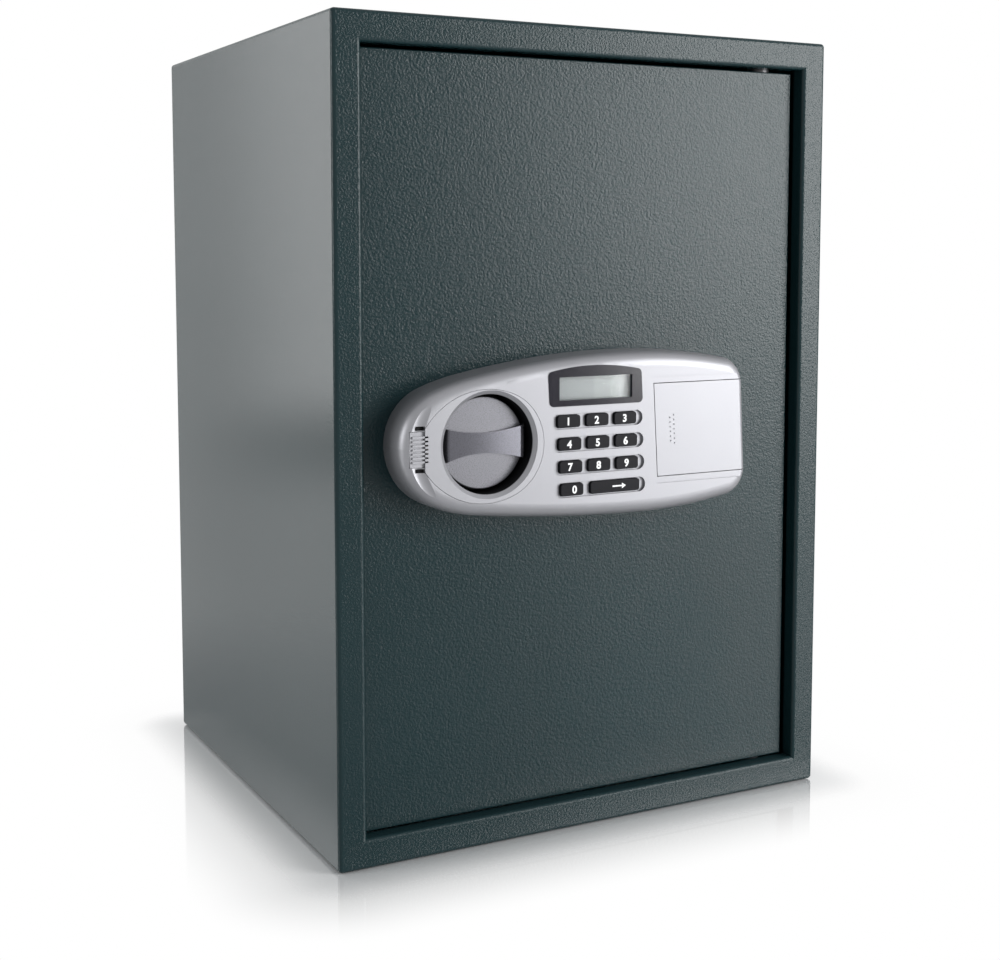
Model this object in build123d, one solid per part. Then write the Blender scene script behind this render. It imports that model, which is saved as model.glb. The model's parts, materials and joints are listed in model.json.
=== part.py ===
from build123d import *
from functools import lru_cache
import math
import os

# An electronic safe: a folded steel box with a hinged door, a moulded control panel and a bolt work.
# Millimetres. X to the right, Y into the safe, Z up. The origin is under the middle of the whole
# object: half way across, half way between the panel's front and the rear wall, on the floor.

# Steel body
body_width = 350.0
body_height = 500.0
body_depth = 320.0
shell_wall = 3.0
bend_radius = 2.5
frame_face = 18.0
lip_depth = 10.0
latch_lip_depth = 50.0
rear_wall = 3.0
anchor_hole_radius = 6.0
anchor_spacing = 200.0
rear_anchor_height = 350.0
base_anchor_setback = 170.0

# Door and its tray
door_recess = 8.0
door_thickness = 4.0
door_gap_latch = 2.0
door_gap_hinge = 4.0
door_gap_top = 2.0
door_gap_bottom = 1.5
door_edge_radius = 0.8
pan_depth = 46.0
pan_wall = 2.0
pan_inset = 6.0
pan_flange = 12.0
cover_thickness = 2.0
cover_margin = 1.0
cover_screw_radius = 1.6
cover_screw_head_radius = 3.6
cover_screw_head = 1.8

# Hinge
hinge_inset = 18.0
hinge_setback = 12.0
pin_radius = 4.0
pin_shoulder_radius = 7.0
pin_fit = 0.05
pin_end_gap = 0.3
lug_thickness = 6.0
lug_width = 26.0
lug_depth = 31.0
hinge_block_width = 16.0
hinge_block_height = 30.0

# Interior fittings
shelf_height = 300.0
shelf_sheet = 1.5
shelf_lip = 12.0
shelf_side_gap = 1.5
shelf_front_setback = 72.0
shelf_rear_gap = 3.0
ledge_width = 14.0
ledge_sheet = 2.0
mat_thickness = 2.0
mat_side_gap = 1.5
mat_front_setback = 14.0
mat_hole_radius = 12.0

# Control panel outline, seen from the front. Its upper and lower sides each run through four arcs:
# the nose, a shoulder, a flat crown up to the highest point, and a fall towards the end.
panel_nose_inset = 33.2
panel_middle = 250.8
panel_proud = 20.0
panel_wall = 3.0
nose_turn = 68.5
nose_radius_upper = 35.0
nose_radius_lower = 39.5
shoulder_radius_upper = 142.0
shoulder_radius_lower = 91.0
shoulder_turn_upper = 9.6
shoulder_turn_lower = 14.5
crown_radius_upper = 570.0
crown_radius_lower = 980.0
fall_radius = 340.0
end_corner_radius = 18.0
panel_edge_radius = 9.0
lean = 3.2

# Valley inside the panel's nose
valley_radius = 48.0
valley_floor_radius = 7.6
valley_brow_radius = 5.0
valley_slope = 31.0
valley_flare = 6.0
valley_flare_length = 14.0
valley_depth = 1.8
valley_tilt = 2.6

# Knob and its cup
knob_inset = 89.2
knob_radius = 27.7
knob_depth = 10.3
knob_disc = 7.5
knob_edge = 0.8
knob_bore_floor = 2.0
bar_waist = 12.2
bar_end = 22.0
bar_ridge_height = 4.5
bar_dip_height = 1.2
bar_ridge_reach = 23.5
cup_radius = 30.2
cup_wall = 2.0
cup_floor = 3.0
cup_flange = 2.0
cup_flange_margin = 4.0

# Bezel ring round the knob, with its ribbed tab
bezel_hole_radius = 29.8
bezel_chamfer_width = 2.3
bezel_chamfer_depth = 2.0
bezel_radius = 32.5
bezel_offset_x = 3.7
bezel_offset_z = -1.0
bezel_side_radius = 48.0
bezel_side_turn = 78.0
bezel_part_angle = 68.0
bezel_seam = 0.25
bezel_plate = 2.7
tab_length = 9.0
tab_overlap = 2.0
tab_height = 20.6
tab_lowering = 0.4
tab_drop = 1.5
rib_count = 7
rib_pitch = 2.4
rib_width = 1.2
rib_height = 1.0
groove_length = 2.0
groove_height = 1.0
slot_length = 5.8
slot_height = 2.4
slot_gap = 0.8

# The keys and the display stand on one line beside the bezel, the battery cover beyond them
pocket_length = 65.0
keypad_gap = 5.5
cover_gap = 10.1
keypad_inset = knob_inset + bezel_offset_x + bezel_radius + keypad_gap + pocket_length / 2
cover_seam_inset = keypad_inset + pocket_length / 2 + cover_gap

# Display
display_rise = 32.2
display_width = 66.0
display_height = 24.3
display_arch = 3.6
display_corner = 3.0
display_stand = 0.3
window_width = 51.5
window_height = 14.0
window_offset = 0.6
window_thickness = 1.2
window_rim = 1.1
window_set_back = 0.9
lcd_margin = 3.0
lcd_thickness = 3.4

# Keys
key_columns = 3
key_rows = 4
key_pitch_x = 20.0
key_pitch_z = 13.9
key_grid_rise = 10.9
key_width = 15.8
key_height = 7.4
key_corner = 1.7
key_gap = 0.3
key_travel = 1.0
key_stand = 0.2
key_flange = 1.0
key_flange_thickness = 0.8
start_key_width = 35.3
start_key_offset = 10.6
pocket_height = 9.4
pocket_depth = 1.8

# Circuit board behind the keys
board_thickness = 1.6
board_width = 76.0
board_height = 76.0
board_rise = 3.0
board_post_radius = 2.5
mat_sheet = 2.0

# Battery bay and its cover
cover_height = 58.0
cover_middle_drop = 2.0
cover_shell = 2.2
cover_seam = 0.5
cover_skirt_gap = 6.0
bay_field_margin = 4.5
bay_field_depth = 0.9
grip_dot_radius = 0.5
grip_dot_depth = 0.5
grip_dot_pitch = 2.95
grip_dot_rows = 7
grip_dot_inset = 10.5
grip_dot_column = 2.9
cell_radius = 7.1
cell_gap = 0.4
cell_pitch = 2 * cell_radius + cell_gap
cell_length = 49.5
cell_nub_radius = 2.7
cell_nub = 1.0
cell_count = 4
tray_wall = 1.2
tray_seam = 1.0
tray_clear = 0.4
tray_end_gap = 7.7
cover_length = tray_seam + cell_count * cell_pitch + 2 * tray_wall + tray_end_gap
panel_length = cover_seam_inset + cover_length - panel_nose_inset
contact_thickness = 0.6
contact_width = 9.0

# Bolt work
bolt_radius = 9.0
bolt_gap = 0.6
bolt_rise = 72.0
bolt_throw = 18.0
bolt_proud = 2.5
bolt_plane = 35.0
bolt_spigot_radius = 4.0
bolt_edge = 1.2
carriage_sheet = 3.0
carriage_bar = 10.0
carriage_clear = 1.0
carriage_ear = 26.0
carriage_ear_depth = 20.0
guide_rise = 95.0
guide_radius = 4.0
guide_gap = 0.4
guide_tab = 17.0
guide_head_radius = 7.0
guide_head = 2.5
crank_radius = 18.0
crank_pin_radius = 4.0
crank_slot_gap = 0.5
crank_sheet = 3.0
crank_hub_radius = 11.0
crank_eye_wall = 3.0
crank_arm_wall = 2.0
crank_swing = 60.0
arm_margin = 4.0
tooth_reach = 22.0
tooth_drop = 4.5
spindle_radius = 5.0
spindle_fit = 0.05
bush_radius = 8.0
bush_flange_radius = 11.0
bush_flange = 2.0
clip_radius = 7.5
clip_thickness = 1.2
clip_groove = 1.0

# Solenoid latch
plunger_radius = 3.5
plunger_inset = 70.0
plunger_travel = 2.5
plunger_gap = 0.3
plunger_clear = 1.0
coil_radius = 8.0
coil_length = 34.0
coil_drop = 38.0
solenoid_sheet = 2.0
solenoid_width = 20.0
collar_radius = 5.2
collar_height = 2.0
collar_rise = 15.0
cross_pin_radius = 2.0
cross_pin_drop = 6.6
spring_wire = 0.8
spring_radius = 4.4
spring_turns = 5

# Emergency key lock
lock_inset = 47.0
lock_body_radius = 6.0
lock_plug_radius = 3.9
lock_plug_fit = 0.05
lock_nut_radius = 9.0
lock_nut = 4.0
lock_length_behind = 15.0
lock_face_drop = 0.8
keyway_width = 1.0
keyway_height = 5.0
keyway_depth = 6.0
cam_length = 30.0
cam_width = 9.0
cam_boss = 1.0
cam_sheet = 2.5

# Reset button and cable grommet
reset_radius = 4.0
reset_gap = 0.25
reset_travel = 1.5
reset_stand = reset_travel + 0.5
reset_flange = 1.5
reset_inset = 40.0
reset_height = 120.0
grommet_radius = 7.0
grommet_bore = 4.0
grommet_lip = 2.0

# Panel screws from behind the door
panel_screw_radius = 2.0
panel_screw_head_radius = 4.0
panel_screw_head = 2.4
panel_screw_bite = 10.0
panel_boss_radius = 4.5
panel_boss_gap = 0.2
panel_screw_rise = 38.0

# How far a cut runs past the face it opens
past = 1.0

# Main planes, worked out from the sizes above
front = panel_proud + display_stand - (body_depth + panel_proud + display_stand) / 2
rear = front + body_depth
left = -body_width / 2
right = body_width / 2
panel_front = front - panel_proud
door_front = front + door_recess
door_back = door_front + door_thickness
door_left = left + frame_face + door_gap_latch
door_right = right - frame_face - door_gap_hinge
door_bottom = frame_face + door_gap_bottom
door_top = body_height - frame_face - door_gap_top
pan_left = door_left + pan_inset
pan_right = door_right - pan_inset - pan_wall
pan_bottom = door_bottom + pan_inset
pan_top = door_top - pan_inset
pan_back = door_back + pan_depth
cover_back = pan_back + cover_thickness
hinge_x = door_right - hinge_inset
hinge_y = door_front + hinge_setback
bolt_y = front + bolt_plane
knob_x = left + knob_inset
lock_x = left + lock_inset
plunger_x = left + plunger_inset
bezel_x = knob_x + bezel_offset_x
bezel_z = panel_middle + bezel_offset_z
inner_skin = panel_front + panel_wall
knob_base = panel_front + knob_depth + knob_disc
knob_face = panel_front + knob_depth
board_front = inner_skin + 2 * key_gap + key_flange_thickness + key_travel + mat_sheet
board_back = board_front + board_thickness
key_mat_front = board_front - mat_sheet
bay_middle = panel_middle + cover_middle_drop


# Small helpers for solids in the object's own directions

def block(x0, x1, y0, y1, z0, z1):
    """A box between three pairs of planes."""
    middle = ((x0 + x1) / 2, (y0 + y1) / 2, (z0 + z1) / 2)
    return Pos(*middle) * Box(x1 - x0, y1 - y0, z1 - z0)


def front_plane(y):
    """A drawing plane seen from the front, its normal towards the viewer."""
    return Plane(origin=(0, y, 0), x_dir=(1, 0, 0), z_dir=(0, -1, 0))


def plate(sketch, y0, y1):
    """A front-view sketch made solid from y0 (nearer the viewer) to y1."""
    return extrude(front_plane(y1) * sketch, amount=y1 - y0)


def round_y(x, z, radius, y0, y1):
    """A round bar along Y."""
    return plate(Pos(x, z) * Circle(radius), y0, y1)


def round_x(y, z, radius, x0, x1):
    """A round bar along X."""
    side = Plane(origin=(x0, 0, 0), x_dir=(0, 1, 0), z_dir=(1, 0, 0))
    return extrude(side * Pos(y, z) * Circle(radius), amount=x1 - x0)


def round_z(x, y, radius, z0, z1):
    """A round bar along Z."""
    return extrude(Plane.XY.offset(z0) * Pos(x, y) * Circle(radius), amount=z1 - z0)


def leaned(x, z):
    """The panel's features lean: their tops stand further left."""
    return x - math.tan(math.radians(lean)) * (z - panel_middle)


def one_solid(shape):
    """The largest solid of a shape that a cut may have left in crumbs."""
    return shape.solids().sort_by(SortBy.VOLUME)[-1]


# Steel body

def cabinet_shell():
    """Side walls, top, base and the folded front frame with its return lips."""
    outer = block(left, right, front, rear, 0, body_height)
    outer = fillet(outer.edges().filter_by(Axis.Y) + outer.faces().sort_by(Axis.Y)[0].edges(), bend_radius)
    inside = block(left + shell_wall, right - shell_wall, front + shell_wall, rear,
                   shell_wall, body_height - shell_wall)
    shell = outer - inside
    opening_x = (left + frame_face, right - frame_face)
    opening_z = (frame_face, body_height - frame_face)
    lip = block(opening_x[0] - shell_wall, opening_x[1] + shell_wall, front + shell_wall / 2,
                front + lip_depth, opening_z[0] - shell_wall, opening_z[1] + shell_wall)
    latch_lip = block(opening_x[0] - shell_wall, opening_x[0], front + shell_wall / 2,
                      front + latch_lip_depth, opening_z[0] - shell_wall, opening_z[1] + shell_wall)
    opening = block(*opening_x, front - shell_wall, front + latch_lip_depth + shell_wall, *opening_z)
    shell = shell + lip + latch_lip - opening
    face = shell.faces().sort_by(Axis.Y)[0]
    shell = fillet(face.inner_wires()[0].edges(), bend_radius)
    for side in (-1, 1):
        half = bolt_radius + 2 * bolt_gap
        height = panel_middle + side * bolt_rise
        shell -= block(opening_x[0] - 2 * shell_wall, opening_x[0] + shell_wall, bolt_y - half, bolt_y + half,
                       height - half, height + half)
        shell -= round_z(side * anchor_spacing / 2, front + base_anchor_setback, anchor_hole_radius,
                         -shell_wall, 2 * shell_wall)
    return shell


def rear_panel():
    """The welded rear wall with its two anchor holes."""
    panel = block(left + shell_wall, right - shell_wall, rear - rear_wall, rear,
                  shell_wall, body_height - shell_wall)
    for side in (-1, 1):
        panel -= round_y(side * anchor_spacing / 2, rear_anchor_height, anchor_hole_radius,
                         rear - 2 * rear_wall, rear + rear_wall)
    return panel


def shelf_ledge(side):
    """An angle welded to one side wall, which the shelf rests on."""
    wall_x = side * (right - shell_wall)
    inner_x = wall_x - side * ledge_width
    leg_x = wall_x - side * ledge_sheet
    y0 = front + shelf_front_setback
    y1 = rear - rear_wall - shelf_rear_gap
    top = shelf_height - shelf_lip
    flat = block(min(wall_x, inner_x), max(wall_x, inner_x), y0, y1, top - ledge_sheet, top)
    leg = block(min(wall_x, leg_x), max(wall_x, leg_x), y0, y1, top - ledge_width, top)
    return flat + leg


def shelf():
    """A loose sheet shelf with its edges folded down, standing on the ledges."""
    x1 = right - shell_wall - shelf_side_gap
    y0 = front + shelf_front_setback
    y1 = rear - rear_wall - shelf_rear_gap
    tray = block(-x1, x1, y0, y1, shelf_height - shelf_lip + pin_end_gap, shelf_height)
    tray -= block(-x1 + shelf_sheet, x1 - shelf_sheet, y0 + shelf_sheet, y1 - shelf_sheet,
                  shelf_height - 2 * shelf_lip, shelf_height - shelf_sheet)
    return tray


def floor_mat():
    """The cloth mat on the base, with room round the two anchor holes."""
    x1 = right - shell_wall - mat_side_gap
    mat = block(-x1, x1, front + mat_front_setback, rear - rear_wall - mat_side_gap,
                shell_wall, shell_wall + mat_thickness)
    for side in (-1, 1):
        mat -= round_z(side * anchor_spacing / 2, front + base_anchor_setback, mat_hole_radius,
                       0, 2 * shell_wall + mat_thickness)
    return mat


def hinge_lug(upper):
    """A welded plate behind the frame that one hinge pin turns in."""
    lip_top = body_height - frame_face + shell_wall
    z0 = lip_top if upper else frame_face - shell_wall - lug_thickness
    lug = block(hinge_x - lug_width / 2, hinge_x + lug_width / 2, front + shell_wall,
                front + shell_wall + lug_depth, z0, z0 + lug_thickness)
    return lug - round_z(hinge_x, hinge_y, pin_radius + pin_fit, z0 - past, z0 + lug_thickness + past)


def hinge_pin(upper):
    """A shouldered pin fixed in the door, turning in its lug."""
    if upper:
        lug_face = body_height - frame_face + shell_wall
        inner = pan_top - pan_wall - hinge_block_height
        shoulder = round_z(hinge_x, hinge_y, pin_shoulder_radius, pan_top, lug_face - pin_end_gap)
        return shoulder + round_z(hinge_x, hinge_y, pin_radius, inner, lug_face + lug_thickness - pin_end_gap)
    lug_face = frame_face - shell_wall
    inner = pan_bottom + pan_wall + hinge_block_height
    shoulder = round_z(hinge_x, hinge_y, pin_shoulder_radius, lug_face + pin_end_gap, pan_bottom)
    return shoulder + round_z(hinge_x, hinge_y, pin_radius, lug_face - lug_thickness + pin_end_gap, inner)


# Door

def panel_screw_centres():
    """Where the four panel screws pass through the door."""
    x = left + keypad_inset
    dx = board_width / 2 + panel_boss_radius + panel_boss_gap
    return [(x + sx * dx, panel_middle + sz * panel_screw_rise) for sx in (-1, 1) for sz in (-1, 1)]


def door_plate():
    """The thick door leaf with its holes for spindle, lock, cable and panel screws."""
    leaf = block(door_left, door_right, door_front, door_back, door_bottom, door_top)
    leaf = fillet(leaf.faces().sort_by(Axis.Y)[0].edges(), door_edge_radius)
    holes = [(knob_x, panel_middle, bush_radius), (lock_x, panel_middle, lock_body_radius)]
    holes += [(left + keypad_inset, panel_middle, grommet_radius)]
    holes += [(x, z, panel_screw_radius) for x, z in panel_screw_centres()]
    for x, z, radius in holes:
        leaf -= round_y(x, z, radius, door_front - past, door_back + past)
    return leaf


def door_pan():
    """The folded tray welded behind the leaf, with its flange and two bolt holes."""
    tray = block(pan_left, pan_right, door_back, pan_back, pan_bottom, pan_top)
    tray -= block(pan_left + pan_wall, pan_right - pan_wall, door_back - past, pan_back - pan_wall,
                  pan_bottom + pan_wall, pan_top - pan_wall)
    tray -= block(pan_left + pan_flange, pan_right - pan_flange, door_back, pan_back + past,
                  pan_bottom + pan_flange, pan_top - pan_flange)
    for side in (-1, 1):
        tray -= round_x(bolt_y, panel_middle + side * bolt_rise, bolt_radius + bolt_gap,
                        pan_left - past, pan_left + pan_wall + past)
    tray -= round_z(hinge_x, hinge_y, pin_radius, pan_bottom - past, pan_top + past)
    for x, z in cover_screw_centres():
        tray -= round_y(x, z, cover_screw_radius, pan_back - 2 * pan_wall, pan_back + past)
    return tray


def cover_screw_centres():
    """Three screws down each side of the door's inner cover."""
    inset = pan_flange / 2
    heights = (pan_bottom + inset, (pan_bottom + pan_top) / 2, pan_top - inset)
    return [(x, z) for x in (pan_left + inset, pan_right - inset) for z in heights]


def door_cover():
    """The flat sheet that closes the tray, with the reset button's hole."""
    sheet = block(pan_left + cover_margin, pan_right - cover_margin, pan_back, cover_back,
                  pan_bottom + cover_margin, pan_top - cover_margin)
    sheet -= round_y(reset_x(), reset_height, reset_radius + reset_gap, pan_back - past, cover_back + past)
    for x, z in cover_screw_centres():
        sheet -= round_y(x, z, cover_screw_radius, pan_back - past, cover_back + past)
    return sheet


def cover_screws():
    """Six pan-head screws through the cover into the tray's flange."""
    screws = Part()
    for x, z in cover_screw_centres():
        screws += round_y(x, z, cover_screw_radius, pan_back - 2 * pan_wall, cover_back)
        screws += round_y(x, z, cover_screw_head_radius, cover_back, cover_back + cover_screw_head)
    return screws


def hinge_block(upper):
    """A welded block in the tray's corner that a hinge pin is pressed into."""
    z0 = pan_top - pan_wall - hinge_block_height if upper else pan_bottom + pan_wall
    solid = block(hinge_x - hinge_block_width / 2, hinge_x + hinge_block_width / 2, door_back,
                  hinge_y + hinge_block_width / 2, z0, z0 + hinge_block_height)
    return solid - round_z(hinge_x, hinge_y, pin_radius, z0 - past, z0 + hinge_block_height + past)


def hinge_blocks():
    """Both blocks, upper and lower."""
    return hinge_block(True) + hinge_block(False)


def reset_x():
    """The reset button sits near the hinge edge of the cover."""
    return pan_right - reset_inset


def reset_button():
    """A small sprung button with a flange behind the cover."""
    stem = round_y(reset_x(), reset_height, reset_radius, pan_back - reset_flange, cover_back + reset_stand)
    flange = round_y(reset_x(), reset_height, reset_radius + reset_flange,
                     pan_back - pin_end_gap - reset_flange, pan_back - pin_end_gap)
    return stem + flange


def cable_grommet():
    """The rubber ring in the door where the panel's cable passes."""
    x = left + keypad_inset
    ring = round_y(x, panel_middle, grommet_radius, door_front, door_back + grommet_lip)
    ring += round_y(x, panel_middle, grommet_radius + grommet_lip, door_back, door_back + grommet_lip)
    return ring - round_y(x, panel_middle, grommet_bore, door_front - past, door_back + 2 * grommet_lip)


# Control panel

def outline_half(side, nose_radius, shoulder_radius, shoulder_turn, crown_radius):
    """The panel's outline from its nose to its end along one side, and the end point."""
    nose = (left + panel_nose_inset, panel_middle)
    end_x = leaned(left + panel_nose_inset + panel_length, panel_middle + side * nose_radius)
    tip = JernArc(start=nose, tangent=(0, side), radius=nose_radius, arc_size=-side * nose_turn)
    shoulder = JernArc(start=tip @ 1, tangent=tip % 1, radius=shoulder_radius, arc_size=-side * shoulder_turn)
    crown_turn = 90 - nose_turn - shoulder_turn
    crown = JernArc(start=shoulder @ 1, tangent=shoulder % 1, radius=crown_radius,
                    arc_size=-side * crown_turn)
    apex = crown @ 1
    fall_turn = math.degrees(math.asin((end_x - apex.X) / fall_radius))
    fall = JernArc(start=apex, tangent=(1, 0), radius=fall_radius, arc_size=-side * fall_turn)
    return [tip, shoulder, crown, fall], fall @ 1


def panel_outline():
    """The panel seen from the front: a pointed nose, flat arcs and a leaning right end."""
    upper, upper_end = outline_half(1, nose_radius_upper, shoulder_radius_upper, shoulder_turn_upper,
                                    crown_radius_upper)
    lower, lower_end = outline_half(-1, nose_radius_lower, shoulder_radius_lower, shoulder_turn_lower,
                                    crown_radius_lower)
    face = make_face(Curve() + upper + [Line(upper_end, lower_end)] + lower)
    corners = face.vertices().sort_by(Axis.X)[-2:]
    return fillet(corners, end_corner_radius)


def valley():
    """The ring to be cut away round the knob: hollow floor, rounded brows, deepest at the nose."""
    floor = JernArc(start=(0, 0), tangent=(1, 0), radius=valley_floor_radius, arc_size=valley_slope)
    brow = JernArc(start=floor @ 1, tangent=floor % 1, radius=valley_brow_radius,
                   arc_size=valley_flare - valley_slope)
    flare = Line(brow @ 1, (brow @ 1) + (brow % 1) * valley_flare_length)
    outer = Curve() + [floor, brow, flare]
    inner = mirror(outer, about=Plane.YZ)
    top = Line(flare @ 1, ((flare @ 1).X * -1, (flare @ 1).Y))
    section = Pos(valley_radius, 0) * make_face(outer + inner + top)
    ring = revolve(Plane(origin=(0, 0, 0), x_dir=(1, 0, 0), z_dir=(0, 0, -1)) * section, axis=Axis.Y)
    rise = valley_radius * math.sin(math.radians(valley_tilt))
    place = Location((knob_x, panel_front + valley_depth - rise, panel_middle))
    return place * Rot(0, 0, -valley_tilt) * ring


@lru_cache
def panel_body():
    """The panel's outside as one full solid: rounded edges, valley and the sunk battery field."""
    body = plate(panel_outline(), panel_front, door_front)
    body = fillet(body.faces().sort_by(Axis.Y)[0].edges(), panel_edge_radius)
    return body - valley() - battery_field()


def battery_field():
    """The shallow field round the battery cover."""
    x0 = left + cover_seam_inset - bay_field_margin
    z0 = bay_middle - cover_height / 2 - bay_field_margin
    z1 = bay_middle + cover_height / 2 + bay_field_margin
    corners = [(leaned(x0, z0), z0), (right, z0), (right, z1), (leaned(x0, z1), z1)]
    shape = make_face(Polyline(*corners, close=True))
    shape = fillet(shape.vertices().sort_by(Axis.X)[:2], bay_field_margin)
    return plate(shape, panel_front - past, panel_front + bay_field_depth)


def cover_region(grow, y1):
    """The block that parts the battery cover from the panel, grown by the seam."""
    x0 = left + cover_seam_inset - grow
    z0 = bay_middle - cover_height / 2 - grow
    z1 = bay_middle + cover_height / 2 + grow
    corners = [(leaned(x0, z0), z0), (right, z0), (right, z1), (leaned(x0, z1), z1)]
    shape = make_face(Polyline(*corners, close=True))
    return plate(shape, panel_front - past, y1 + grow)


@lru_cache
def panel_core(wall):
    """The hollow inside the panel, one wall in from its outside."""
    shape = offset(panel_outline(), -wall)
    core = plate(shape, panel_front + wall, door_front + past)
    return fillet(core.faces().sort_by(Axis.Y)[0].edges(), panel_edge_radius - wall)


def bezel_sketch(grow):
    """The drop-shaped outline of the bezel, with its tab on the left."""
    centre = (bezel_x, bezel_z)
    half = bezel_part_angle
    start = (centre[0] + bezel_radius * math.cos(math.radians(half)),
             centre[1] + bezel_radius * math.sin(math.radians(half)))
    heading = math.radians(half + 90)
    upper = JernArc(start=start, tangent=(math.cos(heading), math.sin(heading)), radius=bezel_side_radius,
                    arc_size=bezel_side_turn)
    mirrored = (start[0], 2 * centre[1] - start[1])
    lower = JernArc(start=mirrored, tangent=(math.cos(heading), -math.sin(heading)), radius=bezel_side_radius,
                    arc_size=-bezel_side_turn)
    round_end = ThreePointArc(start, (centre[0] + bezel_radius, centre[1]), mirrored)
    drop = make_face(Curve() + [upper, round_end, lower, Line(upper @ 1, lower @ 1)])
    drop = fillet(drop.vertices().sort_by(Axis.X)[:2], bend_radius)
    tab_x = (upper @ 1).X + (tab_overlap - tab_length) / 2
    tab = Pos(tab_x, tab_middle()) * Rectangle(tab_length + tab_overlap, tab_height)
    shape = drop + tab
    return offset(shape, grow) if grow else shape


def bezel_tip_x():
    """The left end of the drop, where the tab begins."""
    half = math.radians(bezel_part_angle)
    turned = math.radians(bezel_part_angle + bezel_side_turn)
    start_x = bezel_x + bezel_radius * math.cos(half)
    return start_x + bezel_side_radius * (math.cos(turned) - math.cos(half))


def tab_middle():
    """The height of the tab's middle line."""
    return panel_middle - tab_lowering


def lock_bezel():
    """The snap-off drop-shaped ring: chamfered hole, lowered tab with ribs and grooves."""
    ring = plate(bezel_sketch(0), panel_front, panel_front + bezel_plate)
    tip = bezel_tip_x()
    z0 = tab_middle() - tab_height / 2 - past
    z1 = tab_middle() + tab_height / 2 + past
    ring -= block(tip - 2 * tab_length, tip, panel_front - past, panel_front + tab_drop, z0, z1)
    ring -= round_y(knob_x, panel_middle, bezel_hole_radius, panel_front - past, inner_skin + past)
    cone_foot = Plane(origin=(knob_x, panel_front + bezel_chamfer_depth, panel_middle),
                      x_dir=(1, 0, 0), z_dir=(0, -1, 0))
    ring -= Solid.make_cone(bezel_hole_radius, bezel_hole_radius + 2 * bezel_chamfer_width,
                            2 * bezel_chamfer_depth, plane=cone_foot)
    rib_top = panel_front + tab_drop - rib_height
    for index in range(rib_count):
        z = tab_middle() + (index - (rib_count - 1) / 2) * rib_pitch
        rib = block(tip - tab_length + rib_width, tip, rib_top, panel_front + tab_drop,
                    z - rib_width / 2, z + rib_width / 2)
        ring += rib
        ring -= block(tip, tip + groove_length, panel_front - past, panel_front + bezel_plate + past,
                      z - groove_height / 2, z + groove_height / 2)
    return one_solid(ring)


def knob_cup():
    """The black well behind the bezel: a flange, a tube round the knob and a floor on the door."""
    flange = plate(bezel_sketch(cup_flange_margin), inner_skin, inner_skin + cup_flange)
    flange &= panel_core(panel_wall)
    tube = round_y(knob_x, panel_middle, cup_radius + cup_wall, inner_skin, door_front)
    well = round_y(knob_x, panel_middle, cup_radius, inner_skin - past, door_front - cup_floor)
    cup = flange + tube - well
    cup -= round_y(knob_x, panel_middle, spindle_radius + spindle_fit + key_gap, door_front - 2 * cup_floor,
                   door_front + past)
    return cup - round_y(lock_x, panel_middle, lock_body_radius, inner_skin - past,
                         inner_skin + cup_flange + past)


def pocket_centres():
    """The middle of each key row, top row first."""
    rows = []
    for row in range(key_rows):
        z = panel_middle + key_grid_rise - row * key_pitch_z
        rows.append((leaned(left + keypad_inset, z), z))
    return rows


def key_places():
    """Name, centre and width of every key."""
    places = []
    rows = pocket_centres()
    for row in range(key_rows - 1):
        middle_x, z = rows[row]
        for column in range(key_columns):
            number = row * key_columns + column + 1
            places.append((f"key_{number}", middle_x + (column - 1) * key_pitch_x, z, key_width))
    last_x, last_z = rows[-1]
    places.append(("key_0", last_x - key_pitch_x, last_z, key_width))
    places.append(("key_start", last_x + start_key_offset, last_z, start_key_width))
    return places


def key_solid(x, z, width):
    """One key cap with a flange behind the panel that keeps it in."""
    cap = plate(Pos(x, z) * RectangleRounded(width, key_height, key_corner),
                panel_front - key_stand, inner_skin + key_gap)
    cap = fillet(cap.faces().sort_by(Axis.Y)[0].edges(), key_gap)
    foot = RectangleRounded(width + 2 * key_flange, key_height + 2 * key_flange, key_corner)
    flange = plate(Pos(x, z) * foot, inner_skin + key_gap, inner_skin + key_gap + key_flange_thickness)
    return cap + flange


def display_sketch(grow):
    """The display's black surround: leaning sides and an arched top."""
    x = left + keypad_inset
    z0 = panel_middle + display_rise - display_height / 2 - grow
    z1 = panel_middle + display_rise + display_height / 2 - display_arch + grow
    half = display_width / 2 + grow
    lower_left = (leaned(x - half, z0), z0)
    lower_right = (leaned(x + half, z0), z0)
    upper_left = (leaned(x - half, z1), z1)
    upper_right = (leaned(x + half, z1), z1)
    top = (leaned(x, z1), z1 + display_arch)
    sides = [Line(upper_left, lower_left), Line(lower_left, lower_right), Line(lower_right, upper_right)]
    face = make_face(Curve() + sides + [ThreePointArc(upper_right, top, upper_left)])
    return fillet(face.vertices(), display_corner + grow)


def display_middle():
    """The centre of the display window."""
    z = panel_middle + display_rise - window_offset - display_arch / 4
    return leaned(left + keypad_inset, z), z


def display_bezel():
    """The glossy black surround with its window opening and the seat for the lens."""
    surround = plate(display_sketch(0), panel_front - display_stand, inner_skin)
    x, z = display_middle()
    surround -= plate(Pos(x, z) * Rectangle(window_width, window_height), panel_front - past,
                      inner_skin + past)
    lens_front = panel_front + window_set_back
    seat = Rectangle(window_width + 2 * window_rim, window_height + 2 * window_rim)
    return surround - plate(Pos(x, z) * seat, lens_front, inner_skin + past)


def display_window():
    """The clear lens behind the surround."""
    x, z = display_middle()
    lens = Rectangle(window_width + 2 * window_rim, window_height + 2 * window_rim)
    lens_front = panel_front + window_set_back
    return plate(Pos(x, z) * lens, lens_front, lens_front + window_thickness)


def lcd_module():
    """The display glass and its backing, standing on the circuit board."""
    x, z = display_middle()
    glass = Rectangle(window_width + 2 * lcd_margin, window_height + lcd_margin)
    return plate(Pos(x, z) * glass, board_front - lcd_thickness, board_front)


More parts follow.
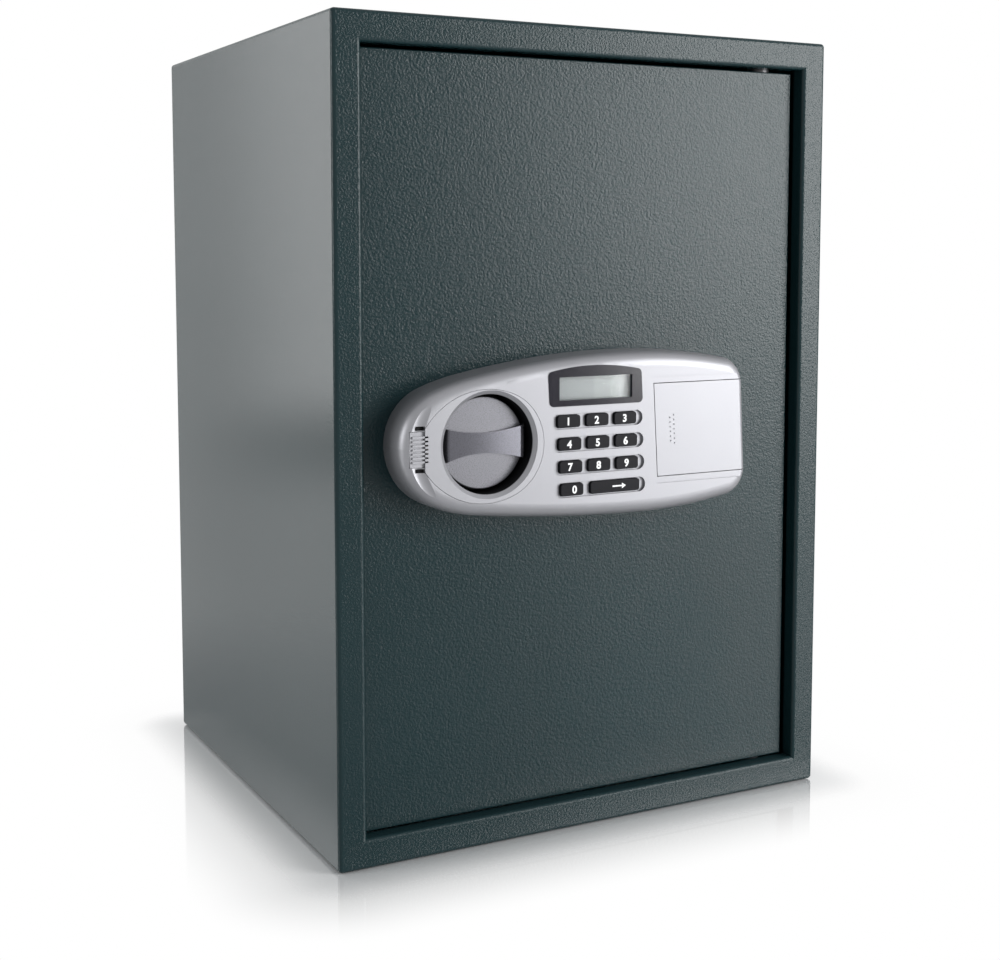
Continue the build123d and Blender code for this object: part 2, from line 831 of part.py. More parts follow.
def board_middle():
    """The centre of the circuit board."""
    return left + keypad_inset, panel_middle + board_rise


def board_post_centres():
    """The board's four fixing posts."""
    x, z = board_middle()
    dx = board_width / 2 - board_post_radius
    dz = board_height / 2 - 2 * board_post_radius
    return [(x + sx * dx, z + sz * dz) for sx in (-1, 1) for sz in (-1, 1)]


def circuit_board():
    """The board that carries the display and the key contacts."""
    return plate(Pos(*board_middle()) * Rectangle(board_width, board_height), board_front, board_back)


def keypad_mat():
    """The rubber contact sheet under the keys."""
    rows = pocket_centres()
    x = (rows[0][0] + rows[-1][0]) / 2
    z = (rows[0][1] + rows[-1][1]) / 2
    height = (key_rows - 1) * key_pitch_z + key_height + 2 * key_flange
    width = board_width - 4 * board_post_radius - 2 * key_flange
    return plate(Pos(x, z) * Rectangle(width, height), key_mat_front, board_front)


def panel_housing():
    """The moulded panel: rounded shell, key pockets, openings, posts and screw bosses."""
    shell = panel_body() - panel_core(panel_wall)
    shell -= plate(bezel_sketch(bezel_seam), panel_front - past, inner_skin + past)
    for x, z in pocket_centres():
        shell -= plate(Pos(x, z) * SlotOverall(pocket_length, pocket_height), panel_front - past,
                       panel_front + pocket_depth)
    for name, x, z, width in key_places():
        hole = RectangleRounded(width + 2 * key_gap, key_height + 2 * key_gap, key_corner + key_gap)
        shell -= plate(Pos(x, z) * hole, panel_front - past, inner_skin + past)
    shell -= plate(display_sketch(0), panel_front - past, inner_skin + past)
    shell -= cover_region(cover_seam, door_front - cover_skirt_gap)
    for side in (-1, 1):
        z = tab_middle() + side * (tab_height / 2 + slot_gap + slot_height / 2)
        x = bezel_tip_x() - slot_length / 2
        shell -= block(x - slot_length / 2, x + slot_length / 2, panel_front - past, inner_skin + past,
                       z - slot_height / 2, z + slot_height / 2)
    for x, z in board_post_centres():
        shell += round_y(x, z, board_post_radius, inner_skin, board_front)
    for x, z in panel_screw_centres():
        shell += round_y(x, z, panel_boss_radius, inner_skin, door_front)
        shell -= round_y(x, z, panel_screw_radius, door_front - panel_screw_bite, door_front + past)
    return one_solid(shell)


def panel_screws():
    """Four screws from behind the door into the panel's bosses."""
    screws = Part()
    for x, z in panel_screw_centres():
        screws += round_y(x, z, panel_screw_radius, door_front - panel_screw_bite, door_back)
        screws += round_y(x, z, panel_screw_head_radius, door_back, door_back + panel_screw_head)
    return screws


def battery_cover():
    """The sliding cover, one shell thick, that wraps round the panel's right end."""
    cover = panel_body() & cover_region(0, door_front - cover_skirt_gap)
    cover -= panel_core(cover_shell)
    column_x = left + cover_seam_inset + grip_dot_inset
    for column, rows in ((0, grip_dot_rows - 1), (1, grip_dot_rows)):
        for row in range(rows):
            z = panel_middle + cover_middle_drop + (row - (rows - 1) / 2) * grip_dot_pitch
            x = leaned(column_x + column * grip_dot_column, z)
            cover -= round_y(x, z, grip_dot_radius, panel_front - past,
                             panel_front + bay_field_depth + grip_dot_depth)
    return one_solid(cover)


def tray_box():
    """Left, right, bottom and top of the battery tray's inside."""
    half_x = cell_count * cell_pitch / 2
    middle_x = left + cover_seam_inset + tray_wall + tray_seam + half_x
    half_z = (cell_length + cell_nub) / 2 + contact_thickness + tray_clear
    return middle_x - half_x, middle_x + half_x, bay_middle - half_z, bay_middle + half_z


def tray_floor():
    """The front face of the tray's floor."""
    return inner_skin + 2 * cell_radius + tray_clear


def battery_tray():
    """The open box for the cells, standing on the door."""
    x0, x1, z0, z1 = tray_box()
    floor = tray_floor()
    mouth = inner_skin + cover_seam
    outer = block(x0 - tray_wall, x1 + tray_wall, mouth, door_front, z0 - tray_wall, z1 + tray_wall)
    outer -= block(x0, x1, mouth - past, floor, z0, z1)
    return outer - block(x0, x1, floor + tray_wall, door_front + past, z0, z1)


def battery_cells():
    """Four upright cells, each turned over from its neighbour."""
    x0, x1, z0, z1 = tray_box()
    cells = Part()
    y = tray_floor() - cell_radius
    for index in range(cell_count):
        x = x0 + cell_pitch * (index + 0.5)
        low = z0 + contact_thickness + (0 if index % 2 else cell_nub)
        cells += round_z(x, y, cell_radius, low, low + cell_length)
        nub = low + cell_length if index % 2 else low - cell_nub
        cells += round_z(x, y, cell_nub_radius, nub, nub + cell_nub)
    return cells


def battery_contacts():
    """The spring plates at both ends of every cell."""
    x0, x1, z0, z1 = tray_box()
    contacts = Part()
    half = contact_width / 2
    y = tray_floor() - cell_radius
    for index in range(cell_count):
        x = x0 + cell_pitch * (index + 0.5)
        for z in (z0, z1 - contact_thickness):
            contacts += block(x - half, x + half, y - half, y + half, z, z + contact_thickness)
    return contacts


# Knob and spindle

def knob_bar():
    """The grip bar: a bow-tie from the front, dished along its length."""
    reach = knob_radius + past
    half_end = bar_end / 2
    half_waist = bar_waist / 2
    upper = ThreePointArc((-reach, half_end), (0, half_waist), (reach, half_end))
    lower = ThreePointArc((reach, -half_end), (0, -half_waist), (-reach, -half_end))
    bow = make_face(Curve() + [upper, Line(upper @ 1, lower @ 0), lower, Line(lower @ 1, upper @ 0)])
    tall = plate(Pos(knob_x, panel_middle) * bow, knob_face - bar_ridge_height - past, knob_face)
    dish = ThreePointArc((-bar_ridge_reach, bar_ridge_height), (0, bar_dip_height),
                         (bar_ridge_reach, bar_ridge_height))
    fall = knob_radius - bar_ridge_reach
    crook = fall * math.sin(math.radians(45))
    drop = bar_ridge_height * (1 - math.cos(math.radians(45)))
    right_end = ThreePointArc(dish @ 1, (bar_ridge_reach + crook, bar_ridge_height - drop), (knob_radius, 0))
    left_end = ThreePointArc((-knob_radius, 0), (-bar_ridge_reach - crook, bar_ridge_height - drop), dish @ 0)
    profile = make_face(Curve() + [left_end, dish, right_end, Line(right_end @ 1, left_end @ 0)])
    plan = Plane(origin=(knob_x, knob_face, panel_middle - knob_radius), x_dir=(1, 0, 0), z_dir=(0, 0, 1))
    flipped = mirror(profile, about=Plane.XZ)
    ridge = extrude(plan * flipped, amount=2 * knob_radius)
    return tall & ridge


def knob():
    """The turning knob: a disc with the dished grip bar standing on it."""
    disc = round_y(knob_x, panel_middle, knob_radius, knob_face, knob_base)
    disc = fillet(disc.faces().sort_by(Axis.Y)[0].edges(), knob_edge)
    bore = round_y(knob_x, panel_middle, spindle_radius, knob_face + knob_bore_floor, knob_base + past)
    return one_solid(disc + knob_bar() - bore)


def crank_back():
    """The face of the crank nearest the inner cover."""
    return bolt_y + carriage_sheet / 2 + guide_gap + crank_sheet


def knob_spindle():
    """The shaft from the knob through the door to the crank, with its clip groove."""
    tail = crank_back() + 2 * clip_thickness
    shaft = round_y(knob_x, panel_middle, spindle_radius, knob_face + knob_bore_floor, tail)
    y1 = crank_back() + clip_thickness
    groove = round_y(knob_x, panel_middle, spindle_radius + clip_groove, crank_back(), y1)
    groove -= round_y(knob_x, panel_middle, spindle_radius - clip_groove, crank_back(), y1)
    return shaft - groove


def spindle_clip():
    """The open clip that keeps the crank on the spindle."""
    clip = round_y(knob_x, panel_middle, clip_radius, crank_back(), crank_back() + clip_thickness)
    clip -= round_y(knob_x, panel_middle, spindle_radius - clip_groove, crank_back() - past,
                    crank_back() + 2 * clip_thickness)
    gap = spindle_radius / 2
    return clip - block(knob_x - gap, knob_x + gap, crank_back() - past, crank_back() + 2 * clip_thickness,
                        panel_middle - 2 * clip_radius, panel_middle)


def spindle_bush():
    """The flanged bearing in the door that the spindle turns in."""
    sleeve = round_y(knob_x, panel_middle, bush_radius, door_front, door_back + bush_flange)
    sleeve += round_y(knob_x, panel_middle, bush_flange_radius, door_back, door_back + bush_flange)
    return sleeve - round_y(knob_x, panel_middle, spindle_radius + spindle_fit, door_front - past,
                            door_back + bush_flange + past)


def crank_pin_centre():
    """The crank pin with the bolts drawn back."""
    angle = math.radians(crank_swing / 2)
    return knob_x + crank_radius * math.sin(angle), panel_middle + crank_radius * math.cos(angle)


def crank_plate():
    """The crank on the spindle: a hub, an arm and the pin that drives the bolts."""
    x, z = crank_pin_centre()
    y1 = crank_back()
    y0 = y1 - crank_sheet
    web = Pos(knob_x, panel_middle) * Circle(crank_hub_radius)
    web += Pos(x, z) * Circle(crank_pin_radius + crank_eye_wall)
    angle = 90 - crank_swing / 2
    web += Pos((knob_x + x) / 2, (panel_middle + z) / 2) * Rot(0, 0, angle) * Rectangle(
        crank_radius, 2 * (crank_pin_radius + crank_arm_wall))
    arm = plate(web, y0, y1)
    arm -= round_y(knob_x, panel_middle, spindle_radius, y0 - past, y1 + past)
    return arm + round_y(x, z, crank_pin_radius, bolt_y - carriage_sheet, y0)


# Bolts

def bolt_tip():
    """The bolts' ends when drawn back."""
    return pan_left - bolt_proud


def carriage_left():
    """The carriage's left edge when the bolts are drawn back, clear of the tray when thrown."""
    return pan_left + pan_wall + bolt_throw + carriage_clear


def locking_bolt(side):
    """One round bolt with a riveted spigot."""
    z = panel_middle + side * bolt_rise
    x1 = carriage_left()
    bolt = round_x(bolt_y, z, bolt_radius, bolt_tip(), x1)
    bolt = chamfer(bolt.faces().sort_by(Axis.X)[0].edges(), bolt_edge)
    return bolt + round_x(bolt_y, z, bolt_spigot_radius, x1, x1 + carriage_sheet)


def bolt_carriage():
    """The steel carriage: a bar, two ears for the bolts, two guide tabs and the crank arm."""
    x0 = carriage_left()
    x1 = x0 + carriage_bar + carriage_sheet
    y0 = bolt_y - carriage_sheet / 2
    y1 = bolt_y + carriage_sheet / 2
    reach = guide_rise + guide_tab / 2
    carriage = block(x0, x1, y0, y1, panel_middle - reach, panel_middle + reach)
    pin_x, pin_z = crank_pin_centre()
    slot_low = panel_middle + crank_radius * math.cos(math.radians(crank_swing / 2))
    slot_high = panel_middle + crank_radius
    bottom = slot_low - crank_pin_radius - crank_slot_gap - arm_margin
    top = slot_high + crank_pin_radius + crank_slot_gap + arm_margin
    arm_end = pin_x + crank_pin_radius + crank_slot_gap + arm_margin
    carriage += block(x1, arm_end, y0, y1, bottom, top)
    carriage += block(x1, x1 + tooth_reach, y0, y1, bottom - tooth_drop, bottom)
    for side in (-1, 1):
        z = panel_middle + side * guide_rise
        tab_end = guide_x() + bolt_throw + guide_radius + guide_gap + arm_margin
        carriage += block(x1, tab_end, y0, y1, z - guide_tab / 2, z + guide_tab / 2)
        slot = SlotCenterToCenter(bolt_throw, 2 * (guide_radius + guide_gap))
        carriage -= plate(Pos(guide_x() + bolt_throw / 2, z) * slot, y0 - past, y1 + past)
        bolt_z = panel_middle + side * bolt_rise
        carriage += block(x0, x0 + carriage_sheet, bolt_y - carriage_ear_depth / 2,
                          bolt_y + carriage_ear_depth / 2, bolt_z - carriage_ear / 2,
                          bolt_z + carriage_ear / 2)
        carriage -= round_x(bolt_y, bolt_z, bolt_spigot_radius, x0 - past, x0 + carriage_sheet + pin_end_gap)
    pin_slot = SlotCenterToCenter(slot_high - slot_low, 2 * (crank_pin_radius + crank_slot_gap))
    carriage -= plate(Pos(pin_x, (slot_low + slot_high) / 2) * Rot(0, 0, 90) * pin_slot, y0 - past, y1 + past)
    return carriage


def guide_x():
    """The guide studs' place across the door."""
    return carriage_left() + carriage_bar + carriage_sheet + guide_radius + guide_gap + arm_margin


def carriage_guides():
    """Two headed studs on the door that the carriage slides on."""
    studs = Part()
    y0 = bolt_y - carriage_sheet / 2 - guide_gap
    y1 = bolt_y + carriage_sheet / 2 + guide_gap
    for side in (-1, 1):
        z = panel_middle + side * guide_rise
        studs += round_y(guide_x(), z, guide_head_radius, door_back, y0)
        studs += round_y(guide_x(), z, guide_radius, y0, y1)
        studs += round_y(guide_x(), z, guide_head_radius, y1, y1 + guide_head)
    return studs


# Solenoid latch

def tooth_bottom():
    """The edge of the carriage that the plunger bears on."""
    slot_low = panel_middle + crank_radius * math.cos(math.radians(crank_swing / 2))
    return slot_low - crank_pin_radius - crank_slot_gap - arm_margin - tooth_drop


def coil_top():
    """The underside of the solenoid frame's top plate."""
    return panel_middle - coil_drop + solenoid_sheet + coil_radius


def solenoid_frame():
    """The bent steel frame on the door that holds the coil."""
    half = solenoid_width / 2
    low = coil_top() - coil_length
    y1 = bolt_y + coil_radius + plunger_clear
    frame = block(plunger_x - half, plunger_x + half, door_back, y1, low - solenoid_sheet, low)
    frame += block(plunger_x - half, plunger_x + half, door_back, y1, coil_top(), coil_top() + solenoid_sheet)
    frame += block(plunger_x - half, plunger_x + half, door_back, door_back + solenoid_sheet, low, coil_top())
    return frame - round_z(plunger_x, bolt_y, plunger_radius + key_gap, coil_top() - past,
                           coil_top() + 2 * solenoid_sheet)


def solenoid_coil():
    """The wound coil, open along its middle for the plunger."""
    low = coil_top() - coil_length
    coil = round_z(plunger_x, bolt_y, coil_radius, low, coil_top())
    return coil - round_z(plunger_x, bolt_y, plunger_radius + key_gap, low + solenoid_sheet,
                          coil_top() + past)


def collar_bottom():
    """The underside of the plunger's collar, where its spring pushes."""
    return coil_top() + solenoid_sheet + collar_rise - collar_height


def solenoid_plunger():
    """The plunger under the carriage's tooth, with its collar and cross pin."""
    low = coil_top() - coil_length + solenoid_sheet + plunger_travel + plunger_clear
    rod = round_z(plunger_x, bolt_y, plunger_radius, low, tooth_bottom() - plunger_gap)
    rod += round_z(plunger_x, bolt_y, collar_radius, collar_bottom(), collar_bottom() + collar_height)
    cross = round_y(plunger_x, panel_middle - cross_pin_drop, cross_pin_radius,
                    cam_front() - plunger_clear, bolt_y)
    return rod + cross


def plunger_spring():
    """The coil spring between the solenoid frame and the plunger's collar."""
    low = coil_top() + solenoid_sheet + spring_wire / 2
    high = collar_bottom() - spring_wire / 2 - plunger_gap
    path = Helix(pitch=(high - low) / spring_turns, height=high - low, radius=spring_radius)
    wire = Plane(origin=path @ 0, z_dir=path % 0) * Circle(spring_wire / 2)
    return Pos(plunger_x, bolt_y, low) * sweep(wire, path=path)


# Emergency key lock

def lock_face():
    """The front of the key lock, behind the bezel."""
    return inner_skin + lock_face_drop


def cam_front():
    """The front face of the lock's cam."""
    return door_back + lock_length_behind + pin_end_gap


def lock_body():
    """The lock's barrel and its nut behind the door."""
    barrel = round_y(lock_x, panel_middle, lock_body_radius, lock_face(), door_back + lock_length_behind)
    hexagon = Pos(lock_x, panel_middle) * RegularPolygon(lock_nut_radius, 6)
    barrel += plate(hexagon, door_back, door_back + lock_nut)
    return barrel - round_y(lock_x, panel_middle, lock_plug_radius + lock_plug_fit, lock_face() - past,
                            door_back + lock_length_behind + past)


def lock_plug():
    """The turning plug with its keyway."""
    plug = round_y(lock_x, panel_middle, lock_plug_radius, lock_face() - pin_end_gap, cam_front() + cam_sheet)
    return plug - block(lock_x - keyway_width / 2, lock_x + keyway_width / 2, lock_face() - past,
                        lock_face() + keyway_depth, panel_middle - keyway_height / 2,
                        panel_middle + keyway_height / 2)


def lock_cam():
    """The cam on the plug, which draws the plunger down when the key turns it."""
    shape = Pos(lock_x, panel_middle) * Circle(cam_width / 2 + cam_boss)
    straight = cam_length - cam_width / 2
    shape += Pos(lock_x, panel_middle + straight / 2) * Rectangle(cam_width, straight)
    shape += Pos(lock_x, panel_middle + straight) * Circle(cam_width / 2)
    cam = plate(shape, cam_front(), cam_front() + cam_sheet)
    return cam - round_y(lock_x, panel_middle, lock_plug_radius, cam_front() - past,
                         cam_front() + cam_sheet + past)


def all_nodes():
    """Every separate piece by name."""
    nodes = {
        "cabinet_shell": cabinet_shell(),
        "rear_panel": rear_panel(),
        "shelf_ledge_left": shelf_ledge(-1),
        "shelf_ledge_right": shelf_ledge(1),
        "hinge_lug_upper": hinge_lug(True),
        "hinge_lug_lower": hinge_lug(False),
        "floor_mat": floor_mat(),
        "shelf": shelf(),
        "door_plate": door_plate(),
        "door_pan": door_pan(),
        "door_cover": door_cover(),
        "cover_screws": cover_screws(),
        "hinge_blocks": hinge_blocks(),
        "hinge_pin_upper": hinge_pin(True),
        "hinge_pin_lower": hinge_pin(False),
        "cable_grommet": cable_grommet(),
        "reset_button": reset_button(),
        "panel_housing": panel_housing(),
        "panel_screws": panel_screws(),
        "knob_cup": knob_cup(),
        "lock_bezel": lock_bezel(),
        "display_bezel": display_bezel(),
        "display_window": display_window(),
        "lcd_module": lcd_module(),
        "circuit_board": circuit_board(),
        "keypad_mat": keypad_mat(),
        "battery_cover": battery_cover(),
        "battery_tray": battery_tray(),
        "battery_cells": battery_cells(),
        "battery_contacts": battery_contacts(),
        "knob": knob(),
        "knob_spindle": knob_spindle(),
        "spindle_clip": spindle_clip(),
        "spindle_bush": spindle_bush(),
        "crank_plate": crank_plate(),
        "bolt_carriage": bolt_carriage(),
        "locking_bolt_upper": locking_bolt(1),
        "locking_bolt_lower": locking_bolt(-1),
        "carriage_guides": carriage_guides(),
        "solenoid_frame": solenoid_frame(),
        "solenoid_coil": solenoid_coil(),
        "solenoid_plunger": solenoid_plunger(),
        "plunger_spring": plunger_spring(),
        "lock_body": lock_body(),
        "lock_plug": lock_plug(),
        "lock_cam": lock_cam(),
    }
    for name, x, z, width in key_places():
        nodes[name] = key_solid(x, z, width)
    return nodes


def main():
    """Writes one file for each piece."""
    os.makedirs("parts", exist_ok=True)
    for name, solid in all_nodes().items():
        export_step(solid, f"parts/{name}.step")


main()
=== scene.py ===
"""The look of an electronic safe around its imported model: finishes, numerals, floor mat, floor and light.

The file is laid out as an add-on. Run as a script it registers its panel and operators, makes every piece
in order and leaves the sidebar panel behind, so a size or a colour can be changed and made again.
"""

import json
import math

import bpy
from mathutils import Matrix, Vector


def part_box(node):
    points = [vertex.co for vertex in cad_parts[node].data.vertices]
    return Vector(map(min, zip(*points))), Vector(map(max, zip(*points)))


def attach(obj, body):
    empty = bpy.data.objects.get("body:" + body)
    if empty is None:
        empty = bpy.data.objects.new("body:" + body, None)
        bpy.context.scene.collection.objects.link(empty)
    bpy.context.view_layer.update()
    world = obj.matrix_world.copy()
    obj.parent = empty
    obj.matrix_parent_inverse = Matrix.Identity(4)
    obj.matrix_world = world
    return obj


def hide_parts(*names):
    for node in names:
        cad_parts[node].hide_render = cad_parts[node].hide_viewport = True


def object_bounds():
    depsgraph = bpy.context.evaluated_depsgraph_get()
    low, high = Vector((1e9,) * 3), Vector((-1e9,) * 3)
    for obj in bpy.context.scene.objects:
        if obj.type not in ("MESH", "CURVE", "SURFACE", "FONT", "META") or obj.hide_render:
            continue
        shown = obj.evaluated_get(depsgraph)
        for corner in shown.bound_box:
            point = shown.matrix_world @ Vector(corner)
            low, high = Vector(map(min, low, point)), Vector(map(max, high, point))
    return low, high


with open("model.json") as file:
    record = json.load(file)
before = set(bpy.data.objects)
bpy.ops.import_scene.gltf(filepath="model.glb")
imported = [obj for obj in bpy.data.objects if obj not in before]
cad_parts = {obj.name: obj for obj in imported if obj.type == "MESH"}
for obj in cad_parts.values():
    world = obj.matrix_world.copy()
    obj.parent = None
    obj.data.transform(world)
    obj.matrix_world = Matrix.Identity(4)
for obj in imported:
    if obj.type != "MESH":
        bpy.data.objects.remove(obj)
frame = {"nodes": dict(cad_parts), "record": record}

bl_info = {
    "name": "Electronic Safe Looks",
    "version": (1, 0, 0),
    "blender": (4, 5, 0),
    "location": "3D View > Sidebar > Safe",
    "description": "Finishes, numerals, floor mat, floor and light of an electronic safe",
    "category": "Object",
}

# The solid model's box
CAD_BOX = [list(corner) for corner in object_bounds()]

# Relief on the sides, as a share of that on the front, and added roughness on top, where dust settles
SIDE_GRAIN_SHARE = 0.3
TOP_DULLER = 0.35

# The knob's grip bar: how deep its face lies behind its foremost point, its swell, and the painted shade that
# darkens its colour
BAR_FACE_DEPTH = 0.0038
BAR_CROWN = 0.0062
BAR_PAINTED_SHADE = (0.55, 0.55, 0.58)

# Silver paint: roughness and share of metal
PANEL_SHEEN = (0.42, 0.5)

# Plastics: colour, roughness, width and depth of the grain, and how much they mirror
PLASTICS = {
    "key_black": ((0.005, 0.005, 0.007), 0.34, 0.0004, 0.00003, 0.1),
    "black_plastic": ((0.006, 0.006, 0.007), 0.5, 0.0004, 0.00003, 0.2),
    "black_gloss": ((0.010, 0.009, 0.015), 0.14, 0.0011, 0.00001, 0.2),
}

# Metals: colour, roughness and how brushing draws the marks out along x, y and z
METALS = {
    "bright_steel": ((0.42, 0.42, 0.43), 0.27, (1.0, 0.2, 1.0)),
    "plain_steel": ((0.46, 0.46, 0.47), 0.40, (0.15, 1.0, 1.0)),
    "brass": ((0.62, 0.42, 0.16), 0.30, (1.0, 0.3, 1.0)),
}
# The hinge pins: a darker steel, with colour, roughness and brushing as above
DARK_PIN_STEEL = ((0.14, 0.14, 0.145), 0.45, (1.0, 1.0, 0.2))

# The coil: width of one turn, and the bands that the wave texture draws per metre at scale 1
COIL_TURN = 0.0012
WAVE_BANDS = 3.2

# Numerals: height of a figure as a share of the type size, and how far right of a key's middle they stand
FIGURE_SHARE = 0.73
NUMERAL_SHIFT = -0.0006
ZERO_SHIFT = 0.0016

# The arrow: its size beside the numerals, then lengths as shares of that size, and its place on the key
ARROW_SHARE = 0.75
ARROW_SHAFT = (2.0, 0.26)
ARROW_HEAD = 0.56
ARROW_HEAD_PLACE = 1.2
ARROW_SHIFT = 0.0015

# The felt mat: squares along x and y, and its slack waves along each as radians per metre and start
MAT_SQUARES = (60, 54)
MAT_WAVE_X = (31.0, 0.7)
MAT_WAVE_Y = (27.0, -0.4)
MAT_LIFT = 0.00003
MAT_SMOOTH_ANGLE = math.radians(50)
HOLE_SIDES = 48
CUTTER_HEIGHT = 0.02

# The floor: width, drop below the safe, share of mirror at the safe, and where reflections see it white
FLOOR_WIDTH = 24.0
FLOOR_DROP = 0.0005
FLOOR_MIRROR = 0.5
FLOOR_POLISH = 2.0
FLOOR_WHITE_FROM = 0.45
FRAME_OVERHANG = 0.02

# Soft boxes: degrees to the right of the safe's front and degrees up, then width and height
SOFT_BOXES = {
    "key": (43.0, 12.0, 0.83, 1.2),
    "left": (-97.0, 12.0, 0.55, 0.9),
    "side": (-146.0, 12.0, 0.67, 1.2),
}
BOX_DISTANCE = 1.9
BOX_TARGET = Vector((0.0, -0.1, 0.25))
ROOM_TINT = (0.95, 0.97, 1.0, 1.0)
WHITE = (1.0, 1.0, 1.0, 1.0)
SENSOR_WIDTH = 36.0

# Nodes that share a finish, from the record's own slots
SLOT_OF = {row["node"]: row["material_slot"] for row in frame["record"]["subparts"]}


def nodes_with(slot):
    """The names of the nodes that take their finish from one of the record's slots."""
    return [node for node, name in SLOT_OF.items() if name == slot]


# Shader arithmetic


class Wire:
    """A socket in a material that can stand in sums and products."""

    def __init__(self, finish, socket):
        self.finish = finish
        self.socket = socket

    def combine(self, operation, first, second):
        return self.finish.node("Math", {"operation": operation}, {0: first, 1: second})

    def __add__(self, other):
        return self.combine("ADD", self, other)

    def __radd__(self, other):
        return self.combine("ADD", other, self)

    def __sub__(self, other):
        return self.combine("SUBTRACT", self, other)

    def __rsub__(self, other):
        return self.combine("SUBTRACT", other, self)

    def __mul__(self, other):
        return self.combine("MULTIPLY", self, other)

    def __rmul__(self, other):
        return self.combine("MULTIPLY", other, self)

    def __truediv__(self, other):
        return self.combine("DIVIDE", self, other)

    def __pow__(self, other):
        return self.combine("POWER", self, other)

    def larger(self, other):
        return self.combine("MAXIMUM", self, other)


class Finish:
    """A material that is built node by node."""

    def __init__(self, name):
        self.material = bpy.data.materials.new(name)
        self.material.use_nodes = True
        self.tree = self.material.node_tree
        self.tree.nodes.clear()
        self.coords = self.node("TexCoord", out="Object")

    def node(self, kind, settings=None, inputs=None, out=0):
        """Adds a node, sets it up, feeds its sockets and gives back one of its outputs."""
        made = self.tree.nodes.new("ShaderNode" + kind)
        for key, value in (settings or {}).items():
            if key == "stops":
                self.fill_ramp(made.color_ramp, value)
            else:
                setattr(made, key, value)
        for key, value in (inputs or {}).items():
            if isinstance(value, Wire):
                self.tree.links.new(value.socket, made.inputs[key])
            else:
                made.inputs[key].default_value = value
        return Wire(self, made.outputs[out])

    def fill_ramp(self, ramp, stops):
        """Gives a colour ramp its stops, lowest first."""
        while len(ramp.elements) < len(stops):
            ramp.elements.new(1.0)
        for element, (place, colour) in zip(ramp.elements, stops):
            element.position = place
            element.color = colour

    def ramp(self, value, stops):
        """A colour picked by a value."""
        return self.node("ValToRGB", {"stops": stops}, {"Fac": value}, "Color")

    def axis(self, name):
        """One coordinate of the surface point, in metres."""
        return self.node("SeparateXYZ", {}, {0: self.coords}, name)

    def noise(self, size, detail=2.0, rough=0.5, where=None):
        """Even noise with grains of about the given size, in metres."""
        return self.node("TexNoise", {}, {"Vector": where or self.coords, "Scale": 1.0 / size,
                                          "Detail": detail, "Roughness": rough}, "Fac")

    def stretched(self, along_x, along_y, along_z):
        """Coordinates drawn out along an axis, for brushing marks."""
        return self.node("Mapping", {"vector_type": "POINT"},
                         {"Vector": self.coords, "Scale": (along_x, along_y, along_z)}, "Vector")

    def between(self, factor, low, high):
        """A value that goes from low to high as the factor goes from 0 to 1."""
        return low + factor * (high - low)

    def tint(self, factor, dark, light):
        """A colour between two colours."""
        return self.node("Mix", {"data_type": "RGBA", "clamp_factor": True},
                         {0: factor, 6: (*dark, 1.0), 7: (*light, 1.0)}, 2)

    def relief(self, height, depth, strength=1.0):
        """A bumped normal from a height between 0 and 1 that stands for a depth in metres."""
        return self.node("Bump", {}, {"Strength": strength, "Distance": depth, "Height": height}, "Normal")

    def surface(self, inputs):
        """Ends the material in one glossy or metallic surface."""
        return self.end(self.node("BsdfPrincipled", {}, inputs, "BSDF"))

    def end(self, shader):
        """Joins a shader to the material's output."""
        output = self.tree.nodes.new("ShaderNodeOutputMaterial")
        self.tree.links.new(shader.socket, output.inputs["Surface"])
        return self.material


def scaled(colour, share):
    """A colour made darker or lighter."""
    return tuple(channel * share for channel in colour)


# Finishes


def powder_coat(settings):
    """Textured powder coat on steel: a leathery grain, gentler on the sides, duller on top."""
    finish = Finish("powder_coat")
    grain = finish.noise(settings.grain, 2.0, 0.55)
    fine = finish.noise(settings.grain / 2.6, 1.0)
    cloud = finish.noise(0.09, 2.0)
    height = grain * 0.75 + fine * 0.25
    colour = tuple(settings.paint_colour)
    shade = cloud * 0.45 + height * 0.55
    normal = finish.node("TexCoord", out="Normal")
    facing_x = finish.node("SeparateXYZ", {}, {0: normal}, "X")
    sideways = finish.node("Math", {"operation": "ABSOLUTE"}, {0: facing_x})
    upward = finish.node("SeparateXYZ", {}, {0: normal}, "Z").larger(0.0)
    plain = finish.between(height, settings.paint_roughness - 0.03, settings.paint_roughness + 0.05)
    strength = finish.between(sideways, settings.grain_strength, settings.grain_strength * SIDE_GRAIN_SHARE)
    return finish.surface({
        "Base Color": finish.tint(shade, scaled(colour, 0.80), scaled(colour, 1.20)),
        "Roughness": plain + upward * TOP_DULLER,
        "Specular IOR Level": settings.paint_gloss,
        "Normal": finish.relief(height, settings.grain_depth, strength),
    })


def silver_lacquer(colour, roughness, metallic):
    """Silver paint on moulded plastic: fine metal flakes under a satin skin."""
    finish = Finish("panel_silver")
    flakes = finish.noise(0.00035, 1.0, 0.6)
    skin = finish.noise(0.0016, 2.0)
    cloud = finish.noise(0.03, 2.0)
    shade = flakes * 0.7 + cloud * 0.3
    return finish.surface({
        "Base Color": finish.tint(shade, scaled(colour, 0.90), scaled(colour, 1.08)),
        "Metallic": metallic,
        "Roughness": finish.between(flakes, roughness - 0.04, roughness + 0.06),
        "Normal": finish.relief(flakes * 0.6 + skin * 0.4, 0.00003, 0.5),
    })


